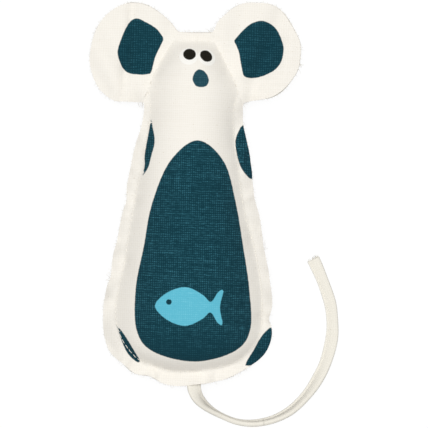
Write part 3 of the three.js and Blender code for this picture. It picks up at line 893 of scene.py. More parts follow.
cloth.settings.air_damping = 4
cloth.settings.tension_stiffness = 60
cloth.settings.compression_stiffness = 40
cloth.settings.shear_stiffness = 12
cloth.settings.bending_stiffness = 2.0
cloth.settings.use_pressure = True
cloth.settings.uniform_pressure_force = PRESSURE
cloth.settings.vertex_group_pressure = "stuffed"
cloth.settings.vertex_group_mass = "sewn"
cloth.settings.rest_shape_key = flat_cut
cloth.settings.effector_weights.gravity = 0
cloth.collision_settings.use_collision = False
cloth.point_cache.frame_end = SIM_FRAMES
for step in range(1, SIM_FRAMES + 1):
    bpy.context.scene.frame_set(step)
settled = sim.evaluated_get(bpy.context.evaluated_depsgraph_get())
shape = np.zeros(len(start) * 3)
settled.data.vertices.foreach_get("co", shape)
shape = shape.reshape(-1, 3) / SIM_SCALE
bpy.data.objects.remove(sim)
bpy.context.scene.frame_set(1)

front_shape = shape[:pocket_count].copy()
back_shape = shape[pocket_count : 2 * pocket_count].copy()
outer_shape = shape[2 * pocket_count :].copy()

# Creases of the flange, where the raw edge is drawn in: place on the edge, how far it is drawn in there,
# and how high the crease stands, all in millimetres
PUCKERS = [
    (-23.4, -8.2, 0.3, 0.9),
    (-26.0, -4.0, 0.2, -0.6),
    (-29.8, -32.6, 0.3, 1.0),
    (-31.5, -40.5, 0.3, -0.8),
    (28.4, -20.1, 0.3, 0.9),
    (31.6, -48.0, 0.6, -2.2),
    (-13.1, -71.5, 0.4, 0.9),
    (-24.0, -66.6, 0.5, 0.7),
    (24.4, 6.0, 0.3, 0.7),
    (12.0, -73.0, 0.2, -0.6),
]
PUCKER_REACH = 6.0 * MM
PUCKER_RISE = (0.3 * MM, 4.0 * MM)  # the stretch of the flange over which a crease rises
# Half widths in millimetres of a crease, of the hollow on either side of it, and of the drawn-in edge
CREASE_BREADTH = 1.3
BESIDE_BREADTH = 1.5
DRAWN_BREADTH = 2.0
BESIDE_AT = 3.0  # where that hollow is deepest
BESIDE_DEPTH = 0.5  # as a share of the crease's height
# Soft folds of the ears, in millimetres: from one end to the other, height and half width
EAR_FOLDS = [
    (-24.3, 76.0, -28.0, 34.0, -1.5, 1.8),
    (36.0, 72.0, 37.0, 42.0, 0.8, 3.0),
    (18.0, 44.0, 38.0, 41.0, -0.6, 2.4),
]
EAR_FOLD_RISES = (-0.15, 0.1)  # shares of a fold's length over which it rises and sinks again
EAR_FOLD_SINKS = (0.9, 1.15)
# The raw edge passes from bottom to side and from side to head over these heights
BOTTOM_EDGE = (-72.0 * MM, -60.0 * MM)
HEAD_EDGE = (32.0 * MM, 42.0 * MM)
# The seam lies in a groove, and beyond it the flange hangs down at the sides: how deep the groove is, and
# how much the flange climbs in each millimetre
GROOVE = {"bottom": 0.3 * MM, "side": 0.7 * MM, "head": 0.3 * MM}
CLIMB = {"bottom": 0.04, "side": -0.72, "head": 0.02}
GROOVE_RUN = 0.8 * MM
FLANGE_FADE = (6.0 * MM, 14.0 * MM)  # beyond the seam, the stretch over which that passes into an ear
# Places where the thread was pulled tight and draws the seam down, and by how much, in millimetres
DIMPLES = [(28.6, -47.5, 1.5), (-21.6, -3.5, 1.3), (-24.6, -27.0, 0.9), (24.0, -17.0, 0.9)]
DIMPLE_BREADTH = 2.2 * MM
TAPE_PARTING = TAPE_THICKNESS / 2 + 0.1 * MM
PARTING_BESIDE = (0.6 * MM, 6.0 * MM)  # from the tape's edges, where the panels come together again
PARTING_ABOVE = 6.0 * MM  # the same beyond the tape's end
SEAM_GAP = 0.04 * MM  # from the seam plane to each panel in the seam
PLY_GAP = 0.18 * MM  # how much further from it each raw edge lies
PLIES_PART = (1.0 * MM, 5.0 * MM)  # from the seam, the stretch over which they part
BACK_SLIP = (0.25 * MM, 0.1 * MM)  # the back was sewn on a little out of line with the front
EARS_ABOVE = 30.0 * MM  # no part of an ear lies below this
EAR_REACH = 36.0 * MM  # from the line of the fold to the rim of an ear
EAR_SAG = 1.2 * MM  # how far the rim sags
LYING_GAP = 0.05 * MM  # keeps the flattened back above the ground


def flange_creases(points):
    """The flange and ears with the creases of the raw edge."""
    moved = points.copy()
    for x, y, drawn, lift in PUCKERS:
        spot = np.array([x, y]) * MM
        foot = stitch_loop[np.argmin(np.linalg.norm(stitch_loop - spot, axis=1))]
        out = (spot - foot) / np.linalg.norm(spot - foot)
        beside = ((points[:, :2] - spot) @ np.array([-out[1], out[0]])) / MM
        near = np.exp(-((np.linalg.norm(points[:, :2] - spot, axis=1) / PUCKER_REACH) ** 4))
        rising = ease(outside_by, *PUCKER_RISE) * near
        hollow = np.exp(-(((np.abs(beside) - BESIDE_AT) / BESIDE_BREADTH) ** 2))
        ridge = np.exp(-((beside / CREASE_BREADTH) ** 2)) - BESIDE_DEPTH * hollow
        moved[:, 2] += lift * MM * ridge * rising
        moved[:, :2] -= out * (drawn * MM * np.exp(-((beside / DRAWN_BREADTH) ** 2)) * rising)[:, None]
    return moved


def parting(points):
    """How far the tape of the tail parts each panel from the seam plane."""
    from_edge = np.abs(points[:, 0] - TAIL_EXIT[0]) - TAPE_WIDTH / 2
    beside = ease(from_edge, *PARTING_BESIDE)
    above = ease(points[:, 1] - TAIL_ROUTE[0][1] * MM, 0, PARTING_ABOVE)
    return TAPE_PARTING * (1 - beside) * (1 - above)


outer_shape = flange_creases(outer_shape)
for x0, y0, x1, y1, lift, breadth in EAR_FOLDS:
    fold_start = np.array([x0, y0]) * MM
    fold_run = np.array([x1 - x0, y1 - y0]) * MM
    beside = (outer - fold_start) @ np.array([-fold_run[1], fold_run[0]]) / np.linalg.norm(fold_run)
    passed = (outer - fold_start) @ fold_run / (fold_run @ fold_run)
    within = ease(passed, *EAR_FOLD_RISES) * (1 - ease(passed, *EAR_FOLD_SINKS))
    outer_shape[:, 2] += lift * MM * np.exp(-((beside / (breadth * MM)) ** 2)) * within
at_bottom = 1 - ease(outer[:, 1], *BOTTOM_EDGE)
at_head = ease(outer[:, 1], *HEAD_EDGE)
parts_of_edge = [("bottom", at_bottom), ("side", 1 - at_bottom - at_head), ("head", at_head)]
for part, here in parts_of_edge:
    curl = GROOVE[part] * (1 - np.exp(-outside_by / GROOVE_RUN))
    curl += CLIMB[part] * np.minimum(outside_by, FLANGE_FADE[0])
    outer_shape[:, 2] += here * curl * (1 - ease(outside_by, *FLANGE_FADE))
for layer in (front_shape, outer_shape):
    for x, y, depth in DIMPLES:
        away = np.linalg.norm(layer[:, :2] - np.array([x, y]) * MM, axis=1)
        layer[:, 2] -= depth * MM * np.exp(-((away / DIMPLE_BREADTH) ** 2))
in_ear_by = np.zeros(len(outer))
for hand in (1, -1):
    root = np.array([hand * neck_corner.x, neck_corner.y])
    out = np.array([hand * fold_out.x, fold_out.y])
    beyond = np.where(outer[:, 0] * hand > 0, (outer - root) @ out, 0)
    in_ear_by += np.clip(beyond, 0, None) * (outer[:, 1] > EARS_ABOVE)
outer_shape[:, 2] -= EAR_SAG * (in_ear_by / EAR_REACH) ** 2
back_shape[:, 2] = np.maximum(back_shape[:, 2], -(SEAM_HEIGHT - CLOTH - LYING_GAP))


def only_used(faces, count):
    """Which of so many points the faces use, and the faces numbered by those alone."""
    used = np.unique(faces)
    renumber = np.full(count, -1)
    renumber[used] = np.arange(len(used))
    return used, renumber[faces]


def sewn_layer(pocket_shape, pocket_cut, side):
    """One whole panel as a fine sheet: points, flat places, faces, and the part that each face is of.

    Part 0 is the pocket with its flange, 1 the right ear and 2 the left ear.
    """
    # The pocket and the flange share the points of the seam
    is_seam = is_stitch[pocket_ids]
    ids = np.arange(pocket_count + len(outer))
    ids[pocket_count + new_outer[pocket_ids[is_seam]]] = np.nonzero(is_seam)[0]
    points = np.vstack([pocket_shape, outer_shape])
    points[:, 2] += side * (SEAM_GAP + parting(points))
    splay = ease(outside_by, *PLIES_PART)
    points[pocket_count:, 2] += side * PLY_GAP * splay
    if side < 0:
        points[pocket_count:, :2] += np.array(BACK_SLIP) * splay[:, None]
    points[:, 2] += SEAM_HEIGHT
    faces = np.vstack([pocket_faces, ids[outer_faces + pocket_count]])
    part = np.concatenate([np.zeros(len(pocket_faces), int), np.where(outer_ear < 0, 2, outer_ear)])
    if side < 0:
        faces = faces[:, ::-1]
    used, faces = only_used(faces, len(points))
    flat = np.vstack([pocket_cut, outer])
    sheet = piece_from("sheet", points[used], faces.tolist(), canvas, flat[used])
    sheet.data.polygons.foreach_set("material_index", part)
    for _ in range(2):
        sheet.data.materials.append(canvas)
    # Smoothed, and with edges half as long
    fine = sheet.modifiers.new("fine", "SUBSURF")
    fine.levels = 1
    fine.render_levels = 1
    bpy.context.view_layer.update()
    smooth = sheet.evaluated_get(bpy.context.evaluated_depsgraph_get()).to_mesh()
    points = np.zeros(len(smooth.vertices) * 3)
    smooth.vertices.foreach_get("co", points)
    points = points.reshape(-1, 3)
    faces = np.array([p.vertices for p in smooth.polygons])
    part = np.zeros(len(faces), np.int32)
    smooth.polygons.foreach_get("material_index", part)
    corner = np.zeros(len(smooth.loops), int)
    smooth.loops.foreach_get("vertex_index", corner)
    corner_uv = np.zeros(len(corner) * 2)
    smooth.uv_layers["cloth"].data.foreach_get("uv", corner_uv)
    uv = np.zeros((len(points), 2))
    uv[corner] = corner_uv.reshape(-1, 2)
    bpy.data.objects.remove(sheet)
    return points, uv, faces, part


def canvas_piece(name, layer, wanted, material):
    """A part of a panel as canvas of real thickness, laid on the outer side of the sewn sheet."""
    points, uv, faces, part = layer
    used, faces = only_used(faces[part == wanted], len(points))
    obj = piece_from(name, points[used], faces.tolist(), material, uv[used])
    bpy.ops.object.select_all(action="DESELECT")
    obj.select_set(True)
    bpy.context.view_layer.objects.active = obj
    thick = obj.modifiers.new("thickness", "SOLIDIFY")
    thick.thickness = CLOTH
    thick.offset = 1.0
    bpy.ops.object.modifier_apply(modifier="thickness")
    bpy.ops.object.shade_smooth_by_angle(angle=math.radians(55))
    return obj


# Back panel
# Unprinted canvas, stuffed less full than the front because the toy lies on it and flattens it.
# It is held to the front by the seam alone.
back_layer = sewn_layer(back_shape, back_cut, -1)
back_panel = canvas_piece("back_panel_canvas", back_layer, 0, canvas)
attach(back_panel, "stuffed_body")
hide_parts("back_panel")


# Stuffing
# Two wads of crimped polyester fibre, pushed in through the gap in the seam until the pocket is firm.
# They are hollowed where the catnip lies between them.
CATNIP_MIDDLE = np.array([0.0, -30.0 * MM])
CATNIP_HALF = np.array([11.0 * MM, 15.0 * MM, 4.0 * MM])
WAD_EDGE = 0.9  # how far the fibre reaches into the seam's corner
WAD_SHRINK = 0.98
WAD_GAP = 0.35 * MM  # from the cloth
WADS_APART = 0.2 * MM  # from the seam plane to each wad
WAD_THINNEST = 0.1 * MM
HOLLOW_WIDER = 1.05  # how much wider and deeper than the catnip its hollow is
HOLLOW_DEEPER = 1.08
TUFT = 3.0 * MM
CRIMP_DEPTH = 0.8 * MM
# Polyester drawn into fine crimped fibre: white, in tufts, with a soft sheen
fibre, tree = bare_material("crimped_polyester_fibre")
place = add_node(tree, "ShaderNodeTexCoord").outputs["Object"]
tufts = add_node(
    tree, "ShaderNodeTexNoise", {}, {"Vector": place, "Scale": 1 / TUFT, "Detail": 6.0, "Roughness": 0.7}
).outputs["Fac"]
fibre_colour = add_node(
    tree,
    "ShaderNodeMix",
    {"data_type": "RGBA"},
    {"Factor": tufts, "A": linear("#dfddd6"), "B": linear("#fbfaf6")},
).outputs[2]
crimp = add_node(
    tree, "ShaderNodeBump", {}, {"Height": tufts, "Strength": 0.8, "Distance": CRIMP_DEPTH}
).outputs[0]
fibre_surface = add_node(
    tree,
    "ShaderNodeBsdfPrincipled",
    {},
    {"Base Color": fibre_colour, "Roughness": 0.85, "IOR": 1.57, "Sheen Weight": 0.4, "Normal": crimp},
)
add_node(tree, "ShaderNodeOutputMaterial", {}, {"Surface": fibre_surface.outputs[0]})
wad_faces = pocket_faces[(share[pocket_faces] < WAD_EDGE).all(axis=1)]
for name, side, pocket_shape in [("front", 1, front_shape), ("back", -1, back_shape)]:
    used, faces = only_used(wad_faces, pocket_count)
    skin = pocket_shape[used] * [WAD_SHRINK, WAD_SHRINK, 1]
    skin[:, 2] -= side * WAD_GAP
    from_middle = (skin[:, :2] - CATNIP_MIDDLE) / (CATNIP_HALF[:2] * HOLLOW_WIDER)
    hollow = np.sqrt(np.clip(1 - np.sum(from_middle**2, axis=1), 0, None))
    floor = skin.copy()
    floor[:, 2] = side * (WADS_APART + HOLLOW_DEEPER * CATNIP_HALF[2] * hollow)
    floor[:, 2] = side * np.minimum(side * floor[:, 2], side * skin[:, 2] - WAD_THINNEST)
    points = np.vstack([skin, floor]) + [0, 0, SEAM_HEIGHT]
    # Skin, floor and the wall between their rims
    count = len(used)
    ways = np.vstack([faces[:, [0, 1]], faces[:, [1, 2]], faces[:, [2, 0]]])
    known = set(map(tuple, ways.tolist()))
    rim = [(a, b) for a, b in ways.tolist() if (b, a) not in known]
    closed = faces.tolist() + (faces[:, ::-1] + count).tolist()
    closed += [(b, a, a + count, b + count) for a, b in rim]
    if side < 0:
        closed = [f[::-1] for f in closed]
    wad = piece_from(f"{name}_fibre_wad", points, closed, fibre)
    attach(wad, "stuffed_body")
    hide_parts(f"{name}_stuffing")


# Catnip
# A spoonful of dried and crumbled leaf, poured between the two wads of fibre.
# Every crumb is a curled scrap of leaf.
CRUMB_SIZE = 3.4 * MM
CRUMB_COUNT = 260
CRUMB_ROOM = np.array([1.2 * MM, 1.2 * MM, 0.5 * MM])  # from a crumb's middle to the heap's skin
LEAF_THICKNESS = 0.15 * MM
LEAF_SLENDER = 0.6  # its width as a share of its length
LEAF_POINTED = 0.8  # how much narrower it is at its ends
LEAF_CURL = (0.5, -1.2)  # along it and across it
BLOTCH_SIZE = 2.0 * MM
VEIN_SPACING = 0.5 * MM
VEIN_DEPTH = 0.1 * MM
# Dried leaf: matt grey green with paler blotches, wrinkled between its veins
leaf, tree = bare_material("dried_catnip_leaf")
place = add_node(tree, "ShaderNodeTexCoord").outputs["Object"]
blotch = add_node(
    tree, "ShaderNodeTexNoise", {}, {"Vector": place, "Scale": 1 / BLOTCH_SIZE, "Detail": 3.0}
).outputs["Fac"]
leaf_colour = add_node(
    tree,
    "ShaderNodeMix",
    {"data_type": "RGBA"},
    {"Factor": blotch, "A": linear("#5d6b35"), "B": linear("#9a9a63")},
).outputs[2]
veins = add_node(
    tree,
    "ShaderNodeTexVoronoi",
    {"feature": "DISTANCE_TO_EDGE"},
    {"Vector": place, "Scale": 1 / VEIN_SPACING},
).outputs["Distance"]
wrinkles = add_node(
    tree, "ShaderNodeBump", {}, {"Height": veins, "Strength": 0.5, "Distance": VEIN_DEPTH}
).outputs[0]
leaf_surface = add_node(
    tree,
    "ShaderNodeBsdfPrincipled",
    {},
    {"Base Color": leaf_colour, "Roughness": 0.8, "IOR": 1.45, "Sheen Weight": 0.2, "Normal": wrinkles},
)
add_node(tree, "ShaderNodeOutputMaterial", {}, {"Surface": leaf_surface.outputs[0]})
bpy.ops.object.select_all(action="DESELECT")
bpy.ops.mesh.primitive_grid_add(x_subdivisions=3, y_subdivisions=2, size=CRUMB_SIZE)
crumb = bpy.context.object
thick = crumb.modifiers.new("thickness", "SOLIDIFY")
thick.thickness = LEAF_THICKNESS
bpy.ops.object.modifier_apply(modifier="thickness")
crumb_points = np.array([v.co for v in crumb.data.vertices])
crumb_faces = [list(p.vertices) for p in crumb.data.polygons]
bpy.data.objects.remove(crumb)
pointed = 1 - LEAF_POINTED * (np.abs(crumb_points[:, 0]) / (CRUMB_SIZE / 2)) ** 2
crumb_points[:, 1] *= LEAF_SLENDER * pointed
crumb_points[:, 2] += crumb_points[:, :2] ** 2 @ LEAF_CURL / CRUMB_SIZE
dice = random.Random(23)
points = []
faces = []
while len(points) < CRUMB_COUNT:
    spot = np.array([dice.uniform(-1, 1) for _ in range(3)])
    if spot @ spot > 0.85:
        continue
    spin, lean, _ = dice.uniform(0, 2 * math.pi), dice.uniform(-0.7, 0.7), dice.uniform(-0.7, 0.7)
    spun = [[math.cos(spin), -math.sin(spin), 0], [math.sin(spin), math.cos(spin), 0], [0, 0, 1]]
    leant = [[1, 0, 0], [0, math.cos(lean), -math.sin(lean)], [0, math.sin(lean), math.cos(lean)]]
    axes = np.array(spun) @ np.array(leant)
    middle = np.append(CATNIP_MIDDLE, SEAM_HEIGHT) + spot * (CATNIP_HALF - CRUMB_ROOM)
    first = len(points) * len(crumb_points)
    points.append(crumb_points @ axes.T * dice.uniform(0.6, 1.1) + middle)
    faces += [[i + first for i in f] for f in crumb_faces]
catnip = piece_from("catnip_crumbs", np.vstack(points), faces, leaf)
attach(catnip, "stuffed_body")
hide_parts("catnip_fill")


# Front panel
# The same canvas, screen printed before it was cut: a teal belly and spots, a small face with white round
# its eyes, and a light blue fish. The ink lies in the cloth and leaves its threads to be seen.
BELLY = [
    (2.2, 20.7), (12.7, 12.6), (17.8, -3.6), (21.0, -19.9), (23.8, -36.2), (24.7, -52.2), (18.8, -60.9),
    (3.5, -65.3), (-12.6, -62.0), (-19.5, -53.8), (-20.3, -37.4), (-17.6, -21.0), (-14.9, -4.5),
    (-8.4, 12.1),
]
NOSE = [
    (2.3, 48.3), (4.5, 47.2), (5.9, 44.5), (5.1, 42.0), (2.8, 41.4), (0.8, 42.0), (-0.4, 44.5),
    (0.5, 47.2),
]
# Every spot and ear patch is drawn in lines that meet at its corners
SPOTS = [
    [
        [(-16.1, 29.3), (-15.3, 24.9), (-14.5, 19.7), (-15.7, 14.0), (-16.9, 9.4), (-19.2, 5.8)],
        [(-19.2, 5.8), (-18.2, 10.2), (-18.3, 14.3), (-17.5, 20.0), (-16.1, 29.3)],
    ],
    [
        [(27.0, 28.0), (20.2, 27.5), (18.1, 24.8), (16.9, 20.7), (17.8, 15.1), (19.2, 11.0), (21.6, 7.7),
         (24.0, 6.3), (29.0, 8.0)],
    ],
    [
        [(-27.8, -51.6), (-24.9, -54.9), (-22.5, -58.3), (-20.1, -62.1), (-17.8, -65.7)],
        [(-17.8, -65.7), (-18.2, -66.4), (-19.7, -65.9), (-22.6, -63.3), (-24.9, -59.1), (-27.8, -51.6)],
    ],
    [
        [(37.0, -54.0), (33.2, -51.4), (30.4, -53.3), (28.1, -56.6), (26.3, -60.2), (23.9, -64.3),
         (23.0, -66.5)],
        [(23.0, -66.5), (26.4, -66.1), (37.0, -62.0)],
    ],
]
# Middle, half sizes and tilt in degrees
EYES = [(-1.85, 54.1, 2.5, 2.2, 0), (4.65, 53.6, 2.6, 2.05, -38)]
EYE_WHITES = [(-2.2, 53.3, 3.6, 3.3, 0), (4.9, 53.0, 3.5, 2.9, -38)]
FISH_MIDDLE = (0.4, -43.9)
FISH = [
    (-13.0, 0.0), (-8.2, 5.3), (-1.0, 7.5), (5.4, 4.7), (8.6, 2.0), (11.4, 5.9), (13.4, 6.5), (12.2, 0.0),
    (13.4, -6.5), (11.4, -5.9), (8.6, -2.0), (5.4, -4.7), (-1.0, -7.5), (-8.2, -5.3),
]
FISH_EYE = (-7.6, 1.6, 1.1)
EAR_PATCHES = [
    [
        [(-12.0, 59.9), (-13.2, 61.8), (-15.6, 64.3), (-20.0, 66.7), (-22.9, 67.7), (-25.7, 66.0),
         (-28.4, 60.2), (-29.9, 53.6), (-26.8, 47.1), (-21.6, 45.8), (-17.8, 46.1), (-16.6, 47.0),
         (-15.2, 52.7), (-13.6, 56.5), (-12.0, 59.9)],
    ],
    [
        [(15.3, 60.0), (18.7, 64.1), (22.0, 66.9), (25.6, 68.0), (28.9, 67.2), (32.1, 64.5), (34.5, 59.0),
         (34.6, 55.0), (33.6, 51.6), (31.1, 48.7), (26.6, 46.4), (22.6, 45.6), (19.7, 46.2), (19.0, 47.8),
         (18.0, 52.3), (17.2, 56.0), (15.3, 60.0)],
    ],
]
MARK_STEPS = 10
OVAL_STEPS = 40


def oval(x, y, across, along, tilt):
    """A tilted oval as a loop of points."""
    turn = np.linspace(0, 2 * math.pi, OVAL_STEPS, endpoint=False)
    tilt_cos = math.cos(math.radians(tilt))
    tilt_sin = math.sin(math.radians(tilt))
    right = across * np.cos(turn)
    up = along * np.sin(turn)
    tilted = [x + tilt_cos * right - tilt_sin * up, y + tilt_sin * right + tilt_cos * up]
    return np.stack(tilted, axis=1) * MM


fish = smooth_line(np.array(FISH) + FISH_MIDDLE, OUTLINE_STEPS, closed=True) * MM
fish_eye = oval(FISH_MIDDLE[0] + FISH_EYE[0], FISH_MIDDLE[1] + FISH_EYE[1], FISH_EYE[2], FISH_EYE[2], 0)
teal_marks = [smooth_line(BELLY, MARK_STEPS, closed=True) * MM]
for mark in SPOTS + EAR_PATCHES:
    teal_marks.append(np.vstack([smooth_line(line, MARK_STEPS) for line in mark]) * MM)
nose = smooth_line(NOSE, MARK_STEPS, closed=True) * MM
eyes = [oval(*eye) for eye in EYES]
eye_whites = [oval(*white) for white in EYE_WHITES]


def depth_in(points, loops):
    """How far outside the nearest mark each point is, or, below nought, how far inside one."""
    found = np.full(len(points), np.inf)
    for loop in loops:
        away = distance(points, loop)
        found = np.minimum(found, np.where(inside(points, loop), -away, away))
    return found


def print_on(obj):
    """Ink on a piece, as the distance of each of its points from the edge of the marks."""
    points = np.zeros(len(obj.data.vertices) * 3)
    obj.data.vertices.foreach_get("co", points)
    points = points.reshape(-1, 3)[:, :2]
    blue = np.maximum(depth_in(points, [fish]), -depth_in(points, [fish_eye]))
    for name, away in [
        ("teal", depth_in(points, teal_marks)),
        ("thin", depth_in(points, [nose])),
        ("white", depth_in(points, eye_whites)),
        ("dark", depth_in(points, eyes)),
        ("blue", blue),
    ]:
        field = obj.data.attributes.new(f"{name}_ink", "FLOAT", "POINT")
        field.data.foreach_set("value", away.astype(np.float32))


# Printed canvas: the natural cloth with pigment ink on it, thinner on the tops of the threads and a
# little bled at the edges of the marks
BLEED_SIZE = 1.2 * MM
BLEED = 0.1 * MM
MARK_EDGE = 0.14 * MM
printed = canvas.copy()
printed.name = "printed_cotton_canvas"
tree = printed.node_tree
surface = tree.nodes["cloth_surface"]
colour = surface.inputs["Base Color"].links[0].from_socket
place = tree.nodes["cloth_place"].outputs[0]
bleed = add_node(
    tree, "ShaderNodeTexNoise", {"noise_dimensions": "2D"}, {"Vector": place, "Scale": 1 / BLEED_SIZE}
).outputs["Fac"]
bleed = add_node(
    tree, "ShaderNodeMapRange", {}, {"Value": bleed, "To Min": -BLEED, "To Max": BLEED}
).outputs[0]
specks = add_node(
    tree,
    "ShaderNodeMapping",
    {},
    {"Vector": place, "Scale": (0.4 / THREAD_SPACING, 1.6 / THREAD_SPACING, 1)},
).outputs[0]
specks = add_node(
    tree,
    "ShaderNodeTexNoise",
    {"noise_dimensions": "2D"},
    {"Vector": specks, "Scale": 1.0, "Detail": 2.0},
).outputs["Fac"]
cover = add_node(
    tree,
    "ShaderNodeMath",
    {"operation": "MULTIPLY_ADD"},
    {0: specks, 1: 1.0, 2: tree.nodes["relief"].outputs[0]},
).outputs[0]
cover = add_node(
    tree, "ShaderNodeMapRange", {}, {"Value": cover, "From Min": 1.55, "From Max": 2.35}
).outputs[0]
# Toward the lower end of the belly and the spots beside it the ink is darker and shows no threads:
# painted shade, where the pocket falls away to the seam. The ears took more ink, which hides the threads.
up_cloth = add_node(tree, "ShaderNodeSeparateXYZ", {}, {0: place}).outputs["Y"]
for low, high, share_low, share_high in [(-72 * MM, -52 * MM, 0.0, 1.0), (30 * MM, 45 * MM, 1.0, 0.6)]:
    painted_shade_and_full_ink = add_node(
        tree,
        "ShaderNodeMapRange",
        {},
        {"Value": up_cloth, "From Min": low, "From Max": high, "To Min": share_low, "To Max": share_high},
    ).outputs[0]
    cover = add_node(tree, "ShaderNodeMath", {"operation": "MULTIPLY"}, {0: cover, 1: painted_shade_and_full_ink}).outputs[0]
for name, deep, light in [
    ("teal", "#0e3742", "#3a7585"),
    ("thin", "#214652", "#46707e"),
    ("white", "#f9f7f1", "#faf8f3"),
    ("dark", "#1b1913", "#2e2b24"),
    ("blue", "#5fbad0", "#7accdf"),
]:
    away = add_node(tree, "ShaderNodeAttribute", {"attribute_name": f"{name}_ink"}).outputs["Fac"]
    away = add_node(tree, "ShaderNodeMath", {"operation": "ADD"}, {0: away, 1: bleed}).outputs[0]
    ink = add_node(
        tree,
        "ShaderNodeMapRange",
        {},
        {"Value": away, "From Min": -MARK_EDGE, "From Max": MARK_EDGE, "To Min": 1.0, "To Max": 0.0},
    ).outputs[0]
    ink_colour = add_node(
        tree,
        "ShaderNodeMix",
        {"data_type": "RGBA"},
        {"Factor": cover, "A": linear(deep), "B": linear(light)},
    ).outputs[2]
    colour = add_node(
        tree, "ShaderNodeMix", {"data_type": "RGBA"}, {"Factor": ink, "A": colour, "B": ink_colour}
    ).outputs[2]
tree.links.new(colour, surface.inputs["Base Color"])

front_layer = sewn_layer(front_shape, front_cut, 1)
front_panel = canvas_piece("front_panel_canvas", front_layer, 0, printed)
print_on(front_panel)
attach(front_panel, "stuffed_body")
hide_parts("front_panel")


# Seam stitches
# One row of lockstitches round the pocket, sewn after the tail was laid in. A gap on the right side
# was left to stuff it through and was closed with a second row.
CLOSING_START = 44.0 * MM
CLOSING_LENGTH = 30.0 * MM
CLOSING_PITCH = 1.9 * MM
SEAM_OUT = 0.2 * MM  # the row lies outside the foot of the pocket
CLOSING_OUT = 0.6 * MM
STITCH_PROUD = 0.03 * MM  # how far the middle of the thread stands above the cloth
STITCH_FEET = (-0.6 * MM, 0.0, 0.6 * MM)  # places along a stitch where the cloth under it is found
ROW_STEP = 0.8 * MM
ROWS_APART = 0.5 * MM
FEELER_HEIGHT = 40.0 * MM  # beyond the seam plane, from where the cloth is felt for
seam_line = even(np.vstack([stitch_loop, stitch_loop[:1]]), 0.3 * MM)
seam_line = np.vstack([seam_line, seam_line[:1]])
seam_run = run_along(seam_line)
panel_trees = {}
for side, panel_obj in [(1, front_panel), (-1, back_panel)]:
    panel_trees[side] = BVHTree.FromObject(panel_obj, bpy.context.evaluated_depsgraph_get())


def seam_place(run):
    """Flat places on the seam, so far along it from the bottom middle."""
    return places_at(run % seam_run[-1], seam_run, seam_line)


def sewn_row(name, side, start, stop, pitch, out_by):
    """A row of stitches on one panel, from and to a place along the seam from the bottom middle."""
    at = np.arange(start, stop, pitch)
    along = seam_place(at + ROW_STEP) - seam_place(at - ROW_STEP)
    along /= np.linalg.norm(along, axis=1, keepdims=True)
    out = np.stack([along[:, 1], -along[:, 0]], axis=1)
    rows = []
    for foot in STITCH_FEET:
        hits = []
        for x, y in seam_place(at) + out * out_by + along * foot:
            feeler = Vector((x, y, SEAM_HEIGHT + side * FEELER_HEIGHT))
            hit, facing, _, _ = panel_trees[side].ray_cast(feeler, Vector((0, 0, -side)))
            hits.append((*(hit or Vector((x, y, SEAM_HEIGHT))), *(facing or Vector((0, 0, side)))))
        rows.append(np.array(hits))
    lie = rows[2][:, :3] - rows[0][:, :3]
    lie /= np.linalg.norm(lie, axis=1, keepdims=True)
    over = rows[1][:, 3:]
    return row_of_stitches(name, rows[1][:, :3] + over * STITCH_PROUD, lie, over)


for thread_name, side in [("needle", 1), ("bobbin", -1)]:
    closing_end = CLOSING_START + CLOSING_LENGTH
    seam_end = seam_run[-1] + CLOSING_START
    seam = sewn_row(
        f"seam_{thread_name}_stitches",
        side,
        closing_end + ROWS_APART,
        seam_end - ROWS_APART,
        STITCH_PITCH,
        SEAM_OUT,
    )
    closing = sewn_row(
        f"closing_{thread_name}_stitches", side, CLOSING_START, closing_end, CLOSING_PITCH, CLOSING_OUT
    )
    for row, node in [(seam, f"seam_{thread_name}_thread"), (closing, f"closing_{thread_name}_thread")]:
        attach(row, "stuffed_body")
        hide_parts(node)


# Ears
# Round flaps of both panels, cut in one with them and left unstuffed. The seam crosses their roots.
EAR_BEND = (0.7 * MM, 4.5 * MM)  # the stretch that bends, from the line that it folds on


for name, hand in [("left", -1), ("right", 1)]:
    for ply, layer, material, slot in [
        ("front", front_layer, printed, "printed_canvas"),
        ("back", back_layer, canvas, "canvas"),
    ]:
        ear = canvas_piece(f"{name}_ear_{ply}_canvas", layer, 1 if hand > 0 else 2, material)
        if ply == "front":
            print_on(ear)
        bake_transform(ear)
        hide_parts(f"{name}_ear_{ply}")


# Frayed edges
# Canvas cut with no hem sheds short ends of yarn all along its raw edges, and longer ones in a few
# places, such as the notch below the left ear.
FRAY_SPACING = 0.55 * MM
FRAY_SHORTEST = 0.35 * MM
FRAY_LONGER = 1.1 * MM  # how much longer the longest are, where they aren't drawn out
EDGE_STEP = 1.2 * MM
# Places where longer yarns are drawn out, in millimetres, how far such a place reaches, and their lengths
LONG_FRAY = [(-20.0, 35.0), (6.6, 64.0), (41.2, 51.2), (20.5, 36.3), (-29.8, -32.6), (28.4, -20.1)]
LONG_FRAY_REACH = 1.6 * MM
LONG_FRAY_LENGTHS = (1.0 * MM, 3.0 * MM)
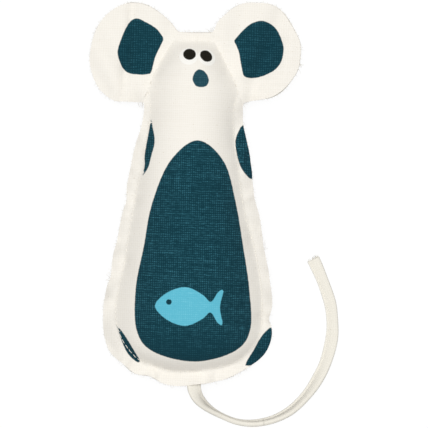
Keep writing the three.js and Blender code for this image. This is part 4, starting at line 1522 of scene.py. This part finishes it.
# Loose yarn of the canvas, untwisted, and darker than the canvas as painted shade, so that the thin ends
# show grey against the white table
shaded_loose_yarn = canvas.copy()
shaded_loose_yarn.name = "loose_cotton_yarn_painted_shade"
mixed = shaded_loose_yarn.node_tree.nodes["cloth_colour"]
mixed.inputs["A"].default_value = linear("#ddd7c9")
mixed.inputs["B"].default_value = linear("#ebe6d9")
dice = random.Random(5)
raw_order = np.argsort(origin[outer_ids[is_raw[outer_ids]]])
raw_line = outer_shape[np.nonzero(is_raw[outer_ids])[0][raw_order]] + [0, 0, SEAM_HEIGHT]
raw_fine = np.vstack([raw_line, raw_line[:1]])
raw_run = run_along(raw_fine)
groups = {"stuffed_body": [], "left_ear": [], "right_ear": []}
for run in np.arange(0, raw_run[-1], FRAY_SPACING):
    run = run + dice.uniform(-0.4, 0.4) * FRAY_SPACING
    near = run + np.array([0, EDGE_STEP, -EDGE_STEP])
    spot, ahead, behind = places_at(near % raw_run[-1], raw_run, raw_fine)
    out = np.array([(ahead - behind)[1], -(ahead - behind)[0], 0])
    out /= np.linalg.norm(out)
    slant = dice.gauss(0, 0.5)
    side = np.array([-out[1], out[0], 0])
    way = out * math.cos(slant) + side * math.sin(slant) + [0, 0, dice.uniform(-0.3, 0.3)]
    length = FRAY_SHORTEST + FRAY_LONGER * dice.random() ** 3
    if min(np.hypot(spot[0] - x * MM, spot[1] - y * MM) for x, y in LONG_FRAY) < LONG_FRAY_REACH:
        length = dice.uniform(*LONG_FRAY_LENGTHS)
    ply_height = dice.choice([0.3, 0.5, -0.3, -0.5]) * MM
    body = "stuffed_body"
    for hand, ear_body in [(1, "right_ear"), (-1, "left_ear")]:
        root = np.array([hand * neck_corner.x, neck_corner.y])
        past = (spot[:2] - root) @ np.array([hand * fold_out.x, fold_out.y])
        if past > EAR_BEND[0] and spot[0] * hand > 0 and spot[1] > EARS_ABOVE:
            body = ear_body
    groups[body].append((spot + [0, 0, ply_height], way / np.linalg.norm(way), length))
for body, ends in groups.items():
    fray = yarn_ends(f"{body}_frayed_edge", ends, shaded_loose_yarn, dice)
    if body == "stuffed_body":
        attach(fray, body)
    else:
        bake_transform(fray)
